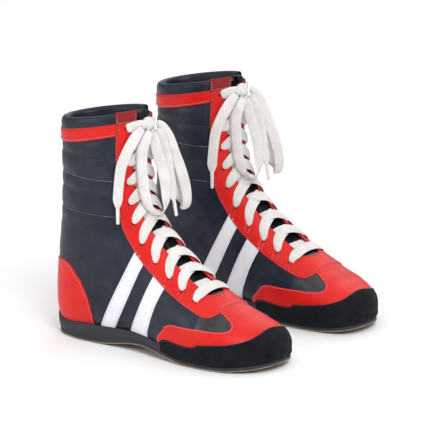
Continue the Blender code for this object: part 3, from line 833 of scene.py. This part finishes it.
# Height of each sheet's underside over the last, and its thickness.
SHEETS = {"quarter": (0.0, 1.3), "vamp": (-0.1, 1.2), "toe_guard": (1.4, 1.8),
          "toe_overlay": (1.1, 1.1), "eyestay": (1.25, 1.2), "top_tab": (2.3, 1.0),
          "heel_patch": (1.25, 1.2), "backstay": (1.2, 1.1), "collar_band": (2.0, 1.2),
          "stripe": (1.2, 0.9), "tongue": (-13.5, 4.6), "lining": (-8.5, 1.8)}
WAVE = 6.28


def span(low, high, t):
    return low + (high - low) * t


def low_edge(s):
    """The lower edge of the quarters: along the sole, then closing under the heel."""
    t = np.clip((s - 7.75) / 0.5, 0, 1)
    return span(0.80, 1.0, t * t * (3 - 2 * t))


def top_edge(a):
    """The upper edge of the shaft, a little higher at the back."""
    return COLLAR - 0.28 + 0.13 * np.minimum(np.abs(a), 1)


def band_low(a):
    """The lower edge of the collar band."""
    return 11.02 + 0.55 * a


QUILTS = (210.0, 187.0, 170.0, 147.0)
# All four sewn lines carry the same thread. The lines at 187 and 147 get lighter grey thread,
# painted highlight where they catch the light. The other two get dark navy thread, painted shade.
HIGHLIT_QUILTS = (187.0, 147.0)


def quilt_level(points):
    """Height measured along the slope of the sewn lines round the shaft."""
    return points[..., 2] + 0.035 * (points[..., 0] - 55)


def quilting(local, s, a, distance):
    """Soft rolls between the sewn lines round the shaft, and wrinkles low on the ankle."""
    z = quilt_level(local)
    nearest = np.full(z.shape, 99.0)
    for line in QUILTS:
        nearest = np.minimum(nearest, np.abs(z - line))
    roll = 1.5 * (1 - np.exp(-((nearest / 4.2) ** 1.2)))
    shaft = np.clip((z - 132) / 14, 0, 1) * np.clip((distance - 1) / 8, 0, 1)
    sewn = -0.5 * np.exp(-((nearest / 0.7) ** 2)) * np.clip((z - 140) / 4, 0, 1)
    sway = 2.2 * np.sin(local[..., 0] / 21 + 1) + 0.9 * np.sin(local[..., 0] / 7.3)
    wrinkle = 0.55 * np.sin(local[..., 2] / 4.3 + sway) * (0.6 + 0.4 * np.sin(local[..., 2] / 11))
    ankle = np.exp(-((local[..., 2] - 112) / 24) ** 2) * np.clip((local[..., 0] - 5) / 40, 0.25, 1)
    bare = np.clip((np.abs(a) - 0.275) / 0.03, 0, 1)
    bare = bare * np.clip((band_low(np.abs(a)) - 0.02 - s) / 0.2, 0, 1)
    return (roll * shaft + sewn + wrinkle * ankle) * bare


QUARTER_START = 4.02


def quarters(boot):
    """The sides and the shaft, in an outer and an inner piece."""
    for sign, name in ((1, "quarter_outer"), (-1, "quarter_inner")):
        u = marks(215, 1.5)[:, None]
        v = marks(125, 1.4)[None, :]
        a = span(0.15, low_edge(span(QUARTER_START, COLLAR, u)), v)
        s = span(QUARTER_START, top_edge(a) + 0.05, u)
        panel(boot, name + "_leather", s, sign * a, SHEETS["quarter"], NAVY, edges="FLS",
              puff=quilting, groove=0.0, replaces=[name], rumple=0.22, seed=3 + sign)


def vamp(boot):
    """The leather over the toes, tucked under the front of the quarters."""
    s = 0.3 + 4.0 * marks(110, 1.6)
    a = np.linspace(-0.79, 0.79, 150)

    def fall(local, s_, a_, distance):
        return -0.5 * np.clip((s_ - 3.9) / 0.4, 0, 1)

    panel(boot, "vamp_leather", s[:, None], a[None, :], SHEETS["vamp"], VAMP_NAVY_WITH_SHEEN, edges="L",
          puff=fall, groove=0.0, replaces=["vamp"], rumple=0.25, seed=11)


GUARD_EDGE = [(1.9, 0.0), (1.88, 0.16), (2.03, 0.28), (2.37, 0.36), (2.85, 0.42), (3.42, 0.47),
              (4.05, 0.515), (4.45, 0.54), (4.74, 0.56), (4.92, 0.59), (5.0, 0.66), (5.0, 0.79)]
OVERLAY_EDGE = [(3.82, 0.0), (3.74, 0.12), (3.48, 0.15), (3.17, 0.18), (3.03, 0.235),
                (3.12, 0.29), (3.42, 0.335), (3.9, 0.378), (4.46, 0.43), (4.78, 0.462),
                (4.97, 0.505), (5.07, 0.56), (5.10, 0.62), (5.10, 0.69), (5.08, 0.79)]


def mirrored(points):
    return [(s, -a) for s, a in reversed(points)]


def both_sides(points):
    """An edge given from the top line to the outer side, run on to the inner side too."""
    return mirrored(points[1:]) + points


def toe_guard(boot):
    """The suede round the toe: a fan from the tip to its curved upper edge."""
    loop = path(both_sides(GUARD_EDGE), 240)
    u = np.clip(1 - marks(75, 1.3)[:, None], 0, 1)
    s = loop[None, :, 0] * u**1.15
    a = np.broadcast_to(loop[None, :, 1], s.shape)
    panel(boot, "toe_guard_suede", s, a, SHEETS["toe_guard"], SUEDE, edges="F", groove=0.3,
          radius=0.9, replaces=["toe_guard"], rumple=0.15, seed=21)


def toe_overlay(boot):
    """The red cap over the toes with its wings; its lower edge runs under the toe guard."""
    lower = both_sides([(s - 0.12, a) for s, a in GUARD_EDGE])
    s, a = across(both_sides(OVERLAY_EDGE), lower, 400, 1.3, boot)

    def folds(local, s_, a_, distance):
        middle = np.exp(-((a_ - 0.03) / 0.16) ** 2)
        return 0.22 * np.sin(local[..., 0] / 16.0 * WAVE) * middle

    panel(boot, "toe_overlay_leather", s, a, SHEETS["toe_overlay"], RED, edges="SFL",
          puff=folds, replaces=["toe_overlay"], seed=31)


EYESTAY_PAIRS = [((12.17, 0.088), (12.17, 0.262)), ((11.5, 0.09), (11.5, 0.262)),
                 ((10.8, 0.09), (10.8, 0.262)), ((10.0, 0.09), (10.0, 0.262)),
                 ((9.2, 0.09), (9.2, 0.26)), ((8.5, 0.09), (8.5, 0.258)),
                 ((7.9, 0.09), (7.9, 0.262)), ((7.3, 0.09), (7.3, 0.272)),
                 ((6.7, 0.09), (6.7, 0.288)), ((6.1, 0.09), (6.1, 0.298)),
                 ((5.5, 0.09), (5.5, 0.30)), ((4.95, 0.09), (4.9, 0.295)),
                 ((4.55, 0.092), (4.4, 0.285)), ((4.34, 0.09), (4.0, 0.272)),
                 ((4.25, 0.07), (3.74, 0.235)), ((4.19, 0.035), (3.60, 0.13)),
                 ((4.17, 0.0), (3.60, 0.0))]
# Folds beside each lace hole: height, place up the leg from the hole, and width, all in mm.
PUCKERS = ((0.60, 3.2, 1.3), (-0.55, 1.1, 0.8), (0.55, -1.0, 1.2), (-0.45, -3.0, 0.9),
           (0.30, -5.2, 1.2))
LEG_SHIFT = 0.028
FAR_DROP = 0.42


def lowered(points, sign, boot):
    """The head of the leg on the wearer's left lies a little lower than the other one."""
    if sign == boot.near:
        return points
    return [(s - FAR_DROP * min(max((s - 10.6) / 1.4, 0), 1), a) for s, a in points]


def leg_edge(index, boot):
    """One edge of both legs, from the outer head round the throat to the inner head."""
    outer = [pair[index] for pair in EYESTAY_PAIRS]
    inner = mirrored(outer[:-1])
    return lowered(outer, 1, boot) + lowered(inner, -1, boot)


def throat(points, boot):
    """The inner edge of both legs, moved a little to the wearer's right above the first row."""
    return [(s, a + boot.near * LEG_SHIFT * min(max((s - 4.5) / 0.8, 0), 1)
             * min(1, (12.3 - s) / 1.5)) for s, a in points]


def eyestay_edges(boot):
    """Paired points along the inner and the outer edge of the red U."""
    count = 520
    inner = match(throat(leg_edge(0, boot), boot), count)
    return inner, match(leg_edge(1, boot), count)


def eyestay(boot):
    """The red U round the throat, puckered where the lace ends pull at their holes."""
    one, two = eyestay_edges(boot)
    u = marks(26, 1.2)
    grid = one[:, None] + (two - one)[:, None] * u[None, :, None]
    s, a = grid[..., 0], grid[..., 1]

    def puckers(local, s_, a_, distance):
        """Each lace end pulls the leather into folds that run outwards from its hole."""
        total = 0
        size = np.abs(a_)
        for row, place in zip(LACE_ROWS, ROW_AROUND):
            per = np.interp(row, [4, 7, 12], [33.0, 27.0, 24.0])
            out = (size - place) * 115
            up = (s_ - row) * per + 0.30 * out + 0.5 * np.sin(out / 2.1 + row * 5)
            beyond = np.clip((out + 1.5) / 3, 0, 1) * np.clip(distance / 2.2, 0, 1)
            low_down = 1.25 if row < 8 else 0.5
            for height, place_up, wide in PUCKERS:
                fold = height * np.exp(-((up - place_up) / wide) ** 2)
                total = total + low_down * beyond * fold
            near = (up / 3.6) ** 2 + (out / 3.6) ** 2
            total = total - 0.8 * np.exp(-near)
        return total

    panel(boot, "eyestay_leather", s, a, SHEETS["eyestay"], RED, edges="SEFL", puff=puckers,
          replaces=["eyestay"], seed=41)
    patch(boot)
    holes(boot)


TAB_LOW = 11.66
TAB_HIGH = 12.23


def patch(boot):
    """A sheet at the head of each eyestay leg, over the collar, in red leather painted darker:
    painted shade where the top of the leg rolls away from the light.
    """
    for sign, name in ((1, "outer"), (-1, "inner")):
        drop = 0.0 if sign == boot.near else FAR_DROP
        s = span(TAB_LOW, TAB_HIGH, marks(15, 1.0)[:, None]) - drop
        a = sign * span(0.092, 0.268, marks(21, 1.0)[None, :])
        panel(boot, "top_tab_" + name, s, a, SHEETS["top_tab"], SHADED_RED, seed=51)


HOLE_RADIUS = 2.9


def holes(boot):
    """A pressed rim at each place where the lace goes through, and a dark sheet inside it: painted
    shade in the hole.
    """
    rims, pits = [], []
    turn = np.linspace(0, 2 * math.pi, 25)
    for row, place in zip(LACE_ROWS, ROW_AROUND):
        for sign in (1, -1):
            middle = boot.on(row, sign * place, 2.25)
            out = boot.normal(row, sign * place)
            up = unit(np.cross(out, [0.0, 1.0, 0.0]))
            side = unit(np.cross(out, up))
            ring = (middle + up * (HOLE_RADIUS * np.cos(turn))[:, None]
                    + side * (HOLE_RADIUS * np.sin(turn))[:, None])
            away = unit(ring - middle)
            outward = np.tile(out, (25, 1))
            rims.append(tube_mesh(ring, away, outward, 0.55, 0.4, 8, 2.0))
            spine = middle + out * np.array([-0.9, -0.5, -0.1])[:, None]
            radius = HOLE_RADIUS - 0.2
            pits.append(tube_mesh(spine, np.tile(side, (3, 1)), np.tile(up, (3, 1)), radius,
                                  radius, 16, 2.0))
    for parts, look, name in ((rims, RED, "hole_rims"), (pits, HOLE, "hole_depths")):
        make(boot, name, joined(parts), look)


HEEL_LOWER = [(7.02, 0.745), (7.4, 0.76), (7.8, 0.82), (8.12, 0.90), (8.22, 1.0)]
HEEL_UPPER = [(7.10, 0.70), (7.20, 0.635), (7.46, 0.562), (7.84, 0.533), (8.13, 0.545),
              (8.46, 0.595), (8.72, 0.69), (8.90, 0.83), (8.96, 1.0)]


def round_back(points):
    """An edge given from the outer side to the back line, run on to the inner side."""
    return list(points) + [(s, 2 - a) for s, a in reversed(points[:-1])]


def heel_patch(boot):
    s, a = across(round_back(HEEL_UPPER), round_back(HEEL_LOWER), 300, 1.3, boot, False)
    panel(boot, "heel_patch_leather", s, a, SHEETS["heel_patch"], RED, edges="S",
          replaces=["heel_patch"], seed=61)


BACKSTAY_EDGE = 0.955


def backstay(boot):
    """The narrow strip over the back seam."""
    s = span(8.86, 11.6, marks(120, 1.6)[:, None])
    a = BACKSTAY_EDGE + 0.09 * marks(12, 1.0)[None, :]

    def follow(local, s_, a_, distance):
        return 0.9 * np.clip((local[..., 2] - 100) / 30, 0, 1)

    panel(boot, "backstay_leather", s, a, SHEETS["backstay"], RED, puff=follow,
          replaces=["backstay"], seed=81)


def collar(boot):
    """The red band round the top of the shaft, and the padded roll over it."""
    around = span(0.262, 1.738, marks(200, 1.6))
    folded = np.minimum(around, 2 - around)
    s = span(band_low(folded), top_edge(folded) - 0.03, marks(14, 1.0)[:, None])
    panel(boot, "collar_band_leather", s, around[None, :], SHEETS["collar_band"], RED, edges="FL",
          replaces=["collar_band"], seed=91)
    count = 260
    around = np.linspace(0.255, 1.745, count)
    folded = np.minimum(around, 2 - around)
    at = np.full(count, 11.92)
    centre = boot.on(at, around, np.full(count, -2.4))
    out = boot.normal(at, around)
    up = unit(boot.on(at + 0.1, around) - boot.on(at - 0.1, around))
    wave = smooth_noise(centre, 26, 5)
    thick = 5.0 + 0.25 * wave
    tall = 8.4 + 0.2 * smooth_noise(centre, 18, 6)
    step = np.arange(count)
    tuck = 0.5 + 0.5 * np.sqrt(np.clip(np.minimum(step, count - 1 - step) / 14, 0, 1))
    thick = thick * tuck
    tall = tall * tuck
    drop = (tall - 4.4 - 3.6 * folded)[:, None]
    shape = tube_mesh(centre - up * drop, up, out, tall, thick, 30, 2.5)
    roll = make(boot, "collar_padding", shape, NAVY, replaces=["collar_roll"])


REAR_STRIPE = (((6.93, 0.27), (6.86, 0.38), (6.84, 0.47), (6.84, 0.62), (6.86, 0.745)),
               ((6.45, 0.28), (6.40, 0.38), (6.37, 0.48), (6.40, 0.62), (6.45, 0.745)))
FRONT_STRIPE = (((5.96, 0.28), (5.94, 0.38), (5.93, 0.476), (5.95, 0.62), (5.99, 0.735)),
                ((5.44, 0.28), (5.44, 0.36), (5.44, 0.44), (5.43, 0.58), (5.42, 0.735)))


def stripes(boot):
    """Two white stripes on each side."""
    for sign, face in ((1, "outer"), (-1, "inner")):
        for edges, place in ((REAR_STRIPE, "rear"), (FRONT_STRIPE, "front")):
            one, two = ([(s, sign * a) for s, a in edge] for edge in edges)
            s, a = across(one, two, 120, 1.3, boot)
            name = f"stripe_{face}_{place}"
            panel(boot, name + "_leather", s, a, SHEETS["stripe"], WHITE, edges="SE",
                  replaces=[name], seed=101)


def tongue(boot):
    """The padded tongue: fullest between the eyestay legs, thin under them."""
    s = span(4.2, 11.8, marks(235, 1.8)[:, None])
    a = 0.24 * (2 * marks(60, 1.5)[None, :] - 1)

    def pad(local, s_, a_, distance):
        middle = np.exp(-((a_ / 0.085) ** 4))
        rows = 0.5 * np.cos((s_ - 4.2) * WAVE)
        return middle * (3.6 + rows) * np.clip(distance / 8, 0, 1)

    obj = panel(boot, "tongue_pad", s, a, SHEETS["tongue"], BLACK, puff=pad, radius=2.0,
                body="tongue_body", groove=0.2, replaces=["tongue"], closed=True, rumple=0.3,
                seed=111)
    pull_loop(boot)


def pull_loop(boot):
    """The small loop at the head of the tongue."""
    turn = np.linspace(-1.2, 3.6, 60)
    middle = boot.on(11.84, 0.05, -3.0)
    points = middle + np.stack([3.4 * np.cos(turn), 0.9 + 0 * turn, 4.6 * np.sin(turn)], -1)
    outward = unit(np.stack([np.cos(turn), 0 * turn, np.sin(turn)], -1))
    side = np.tile([0.0, 1.0, 0.0], (60, 1))
    shape = tube_mesh(points, side, outward, 4.5, 0.6, 12, 3.0)
    make(boot, "pull_loop", shape, BLACK, "tongue_body")


LINING_EDGE = 0.115


def lining(boot):
    """The lining inside the shaft, from the instep up, in an outer and an inner half, turned out
    at the throat.
    """
    around = span(LINING_EDGE, 2 - LINING_EDGE, marks(230, 2.2))
    s = span(4.3, 11.95, marks(235, 2.4)[:, None]) + 0 * around[None, :]
    folded = np.minimum(around, 2 - around)[None, :]
    front = (folded - LINING_EDGE) / (1 - LINING_EDGE)
    a = span(LINING_EDGE, low_edge(s) - 0.02, front)
    for sign, name in ((1, "lining_outer"), (-1, "lining_inner")):
        half = around <= 1
        rise = np.clip(1 - (a[:, half] - LINING_EDGE) / 0.06, 0, 1) ** 2

        def turn_out(local, s_, a_, distance, rise=rise):
            top = np.clip((s_ - 11.6) / 0.3, 0, 1)
            return 6.2 * rise + 1.5 * top

        panel(boot, name + "_cloth", s[:, half], sign * a[:, half], SHEETS["lining"], LINING,
              edges="FL", puff=turn_out, groove=0.0, replaces=[name], closed=True, rumple=0.3,
              seed=121)


HEEL_END = 62
BALL_START = 200
BALL_END = 228
TOE_RUN = 64
WAIST_RISE = 8.5
TOE_RISE = 7.0


def floor_rise(x):
    """How far the sole stands above the floor: under the waist, and at the toe."""
    waist = np.clip((x - HEEL_END) / (BALL_START - HEEL_END), 0, 1)
    toe = np.clip((x - BALL_END) / TOE_RUN, 0, None)
    return WAIST_RISE * np.sin(math.pi * waist) ** 2 + TOE_RISE * toe**2


def sole_edge():
    """The outline of the sole, and the line on the upper that it is joined to, point by point."""
    along = np.linspace(0, 7.5, 130)
    foot = np.stack([along, np.full(130, 0.68)], -1)
    back = path([(7.5, 0.68), (7.85, 0.8), (8.05, 0.9), (8.1, 1.0)], 50)[1:]
    side = np.interp(along, [0, 4.2, 4.7, 5.1, 5.8, 6.5, 7.0, 7.5],
                     [0.58, 0.58, 0.61, 0.685, 0.71, 0.725, 0.73, 0.752])
    join = np.stack([along, side], -1)
    join_back = path([(7.5, 0.752), (7.8, 0.80), (8.12, 0.88), (8.2, 1.0)], 50)[1:]
    foot = np.concatenate([foot, back])
    join = np.concatenate([join, join_back])
    foot = np.concatenate([foot, (foot * [1, -1])[-2:0:-1]])
    join = np.concatenate([join, (join * [1, -1])[-2:0:-1]])
    flat = on_last(foot[:, 0], foot[:, 1])[:, :2]
    for _ in range(6):
        flat = (np.roll(flat, 1, 0) + 2 * flat + np.roll(flat, -1, 0)) / 4
    run = np.roll(flat, -1, 0) - np.roll(flat, 1, 0)
    out = unit(np.stack([-run[:, 1], run[:, 0]], -1))
    return flat, out, join


def walls(boot):
    """The strips that carry the upper down to the sole: suede round the toe, rubber behind."""
    flat, out, join = sole_edge()
    top = on_last(join[:, 0], join[:, 1])
    away = normals_of(join[:, 0], join[:, 1])
    edge = flat + out * 3.1
    foot = np.stack([edge[:, 0], edge[:, 1], floor_rise(edge[:, 0]) + 4.9], -1)
    front = join[:, 0] < 4.93
    turn = int(np.argmax(~front))
    behind = np.roll(~front, -turn)
    count = int(behind.sum())
    order = np.roll(np.arange(len(front)), -turn)
    toe = np.concatenate([order[count - 1:], order[:1]])
    pieces = (("rand_rubber", order[:count], 2.2, 3.5, RUBBER, ["rand"]),
              ("toe_guard_foot", toe, 1.4, 3.25, SUEDE, []))
    for name, ids, low, high, look, nodes in pieces:
        rows = [top[ids] + away[ids] * low, top[ids] + away[ids] * (high - 0.25),
                top[ids] + away[ids] * high]
        start = rows[-1]
        for t in np.linspace(0, 1, 14)[1:]:
            bulge = away[ids] * (1.1 * np.sin(t * math.pi))[..., None]
            rows.append(start * (1 - t) + foot[ids] * t + bulge * [1, 1, 0.2])
        rows = boot.flip(np.array(rows)) + boot.origin
        rows = rows + 0.06 * smooth_noise(rows, 9, 5)[..., None] * boot.flip(away[ids])[None]
        quads = grid_quads(rows.shape[0], rows.shape[1], 0, boot.side == RIGHT)
        make(boot, name, (rows.reshape(-1, 3), quads, None), look, replaces=nodes)


def sole(boot):
    """The rubber midsole and the tread below it, as rings from centre to centre."""
    flat, out, _ = sole_edge()
    centre_y = np.interp(flat[:, 0], [0, 100, 200, 289], [0.0, 0.0, -3.0, 4.0])
    centre = np.stack([flat[:, 0], centre_y], -1)

    def layer(name, profile, look, nodes):
        rings = []
        for spread, z in profile:
            xy = centre if spread is None else flat + out * spread
            rings.append(np.stack([xy[:, 0], xy[:, 1], z + floor_rise(xy[:, 0])], -1))
        rings = boot.flip(np.array(rings)) + boot.origin
        quads = ring_quads(*rings.shape[:2])
        if boot.side == RIGHT:
            quads = quads[:, ::-1]
        make(boot, name, (rings.reshape(-1, 3), quads, None), look, replaces=nodes)

    layer("midsole_rubber",
          [(None, 5.3), (-12, 5.3), (-3.0, 5.3), (1.4, 5.2), (2.5, 4.9), (3.1, 4.3), (3.3, 3.2),
           (3.2, 2.0), (2.9, 1.5), (-12, 1.4), (None, 1.4)],
          RUBBER, ())
    layer("tread_leather",
          [(None, 1.6), (-12, 1.6), (1.0, 1.6), (3.0, 1.55), (3.35, 1.2), (3.35, 0.6), (3.0, 0.15),
           (1.5, 0.0), (-12, 0.0), (-13, 0.0), (None, 0.0)],
          TREAD, ["outsole"])


# ---------------------------------------------------------------- sewing

def inset(edge_one, edge_two, boot, count):
    """A line a little inside the first edge, towards the second."""
    one = path(edge_one, count)
    two = path(edge_two, count)
    gap = np.linalg.norm(boot.on(one[:, 0], one[:, 1]) - boot.on(two[:, 0], two[:, 1]), axis=-1)
    share = (SEAM_INSET / np.maximum(gap, SEAM_INSET * 2))[:, None]
    return one + (two - one) * share


def sewn(boot, points, height):
    """A line of (station, around) points at a height over the last, and its outward way."""
    p = np.asarray(points, float)
    return (boot.on(p[:, 0], p[:, 1], np.full(len(p), float(height))),
            boot.normal(p[:, 0], p[:, 1]))


def sewing(boot):
    """All the thread of one boot, gathered by colour."""
    pale, rose, red, white, dark, highlit = [], [], [], [], [], []
    lower = both_sides(GUARD_EDGE)
    upper = both_sides(OVERLAY_EDGE)
    pale.append(sewn(boot, inset(upper, lower, boot, 300), 2.15))
    guard = path(lower, 300)
    guard[:, 0] -= 0.07
    dark.append(sewn(boot, guard, 3.2))
    heel = inset(round_back(HEEL_UPPER), round_back(HEEL_LOWER), boot, 200)
    pale.append(sewn(boot, heel, 2.4))
    inner, outer = eyestay_edges(boot)
    for share, lines in ((0.075, red), (0.90, red), (0.955, rose)):
        line = inner + (outer - inner) * share
        lines.append(sewn(boot, line, 2.5))
    around = np.linspace(0.27, 1.73, 200)
    folded = np.minimum(around, 2 - around)
    for share, lines in ((0.14, pale), (0.86, red)):
        level = span(band_low(folded), top_edge(folded) - 0.03, share)
        line = np.stack([level, around], -1)
        lines.append(sewn(boot, line, 3.25))
    for a in (BACKSTAY_EDGE + 0.014, 2 - BACKSTAY_EDGE - 0.014):
        line = np.stack([np.linspace(8.95, 11.55, 120), np.full(120, a)], -1)
        red.append(sewn(boot, line, 3.2))
    for sign in (1, -1):
        for edges in (REAR_STRIPE, FRONT_STRIPE):
            one, two = ([(s, sign * a) for s, a in edge] for edge in edges)
            for first, second in ((one, two), (two, one)):
                white.append(sewn(boot, inset(first, second, boot, 90), 2.05))
        for line in QUILTS:
            # Grey thread here is painted highlight, and navy thread is painted shade.
            target = highlit if line in HIGHLIT_QUILTS else dark
            target.append(quilt_line(boot, sign, line))
        drop = 0.0 if sign == boot.near else FAR_DROP
        for side in (0.105, 0.255):
            up = np.linspace(TAB_LOW + 0.04, TAB_HIGH - 0.04, 20) - drop
            pale.append(sewn(boot, np.stack([up, np.full(20, sign * side)], -1), 3.3))
        foot = np.full(30, TAB_LOW + 0.06 - drop)
        line = np.stack([foot, sign * np.linspace(0.105, 0.255, 30)], -1)
        pale.append(sewn(boot, line, 3.3))
    for lines, look, name in (
            (pale, THREAD_PALE, "pale_stitching"), (rose, THREAD_ROSE, "rose_stitching"),
            (red, THREAD_RED, "red_stitching"), (white, THREAD_WHITE, "white_stitching"),
            (dark, THREAD_NAVY_AND_SHADE, "navy_and_shaded_stitching"), (highlit, THREAD_HIGHLIGHT, "quilt_stitching_painted_highlight")):
        make(boot, name, stitches(lines), look)


def quilt_line(boot, sign, level):
    """The sewn line at one height, from the eyestay to the back seam."""
    around = np.linspace(0.268, 0.95, 140)
    low = np.full(140, 6.0)
    high = np.full(140, 12.0)
    for _ in range(30):
        middle = (low + high) / 2
        place = on_last(middle, around)
        below = quilt_level(place) < level
        low = np.where(below, middle, low)
        high = np.where(below, high, middle)
    points = np.stack([(low + high) / 2, sign * around], -1)
    return sewn(boot, points, 1.22)


# ---------------------------------------------------------------- inside pieces that stay CAD

def dress(boot):
    """Materials for the pieces that stay as the CAD made them."""
    for name, look in (("insole_board", BOARD), ("heel_counter", BOARD), ("sockliner", LINING)):
        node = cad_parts[boot.prefix + name]
        for place in node.material_slots:
            place.material = look


def build(side):
    boot = Boot(side)
    free_laces(boot)
    laced(boot)
    knot(boot)
    quarters(boot)
    vamp(boot)
    toe_overlay(boot)
    toe_guard(boot)
    eyestay(boot)
    heel_patch(boot)
    backstay(boot)
    collar(boot)
    stripes(boot)
    tongue(boot)
    lining(boot)
    sole(boot)
    walls(boot)
    sewing(boot)
    dress(boot)


for foot in (RIGHT, LEFT):
    build(foot)

# ---------------------------------------------------------------- studio

floor_mesh = bpy.data.meshes.new("floor")
floor_mesh.from_pydata([(-9, -9, 0), (9, -9, 0), (9, 9, 0), (-9, 9, 0)], [], [(0, 1, 2, 3)])
floor = bpy.data.objects.new("floor", floor_mesh)
floor.location.z = -0.0004
bpy.context.scene.collection.objects.link(floor)
paper = Look("paper floor")
paper.link(paper.mix(paper.noise(paper.coords(), 3, 3), (0.90, 0.90, 0.90), (0.93, 0.93, 0.93)),
           paper.shader.inputs["Base Color"])
paper.put(Roughness=0.9, Specular_IOR_Level=0.1)
floor_mesh.materials.append(paper.material)


def lamp(name, place, size, power, colour=(1, 1, 1)):
    data = bpy.data.lights.new(name, "AREA")
    data.shape = "RECTANGLE"
    data.size, data.size_y = size
    data.energy = power
    data.color = colour
    obj = bpy.data.objects.new(name, data)
    obj.location = place
    obj.rotation_euler = (Vector(place) - Vector((0, 0, 0.1))).to_track_quat("Z", "Y").to_euler()
    bpy.context.scene.collection.objects.link(obj)


lamp("key", (1.5, -1.3, 1.7), (1.1, 1.1), 34)
lamp("fill", (-1.4, -2.0, 1.0), (1.4, 1.0), 14)
lamp("top", (0.0, 0.4, 3.2), (6.0, 6.0), 90)
lamp("rim", (-0.6, 1.8, 1.2), (1.6, 0.8), 8)
bpy.context.scene.view_settings.view_transform = "Standard"
world = bpy.data.worlds.new("studio")
world.use_nodes = True
background = world.node_tree.nodes["Background"]
background.inputs["Color"].default_value = (1, 1, 1, 1)
background.inputs["Strength"].default_value = 0.4
bpy.context.scene.world = world
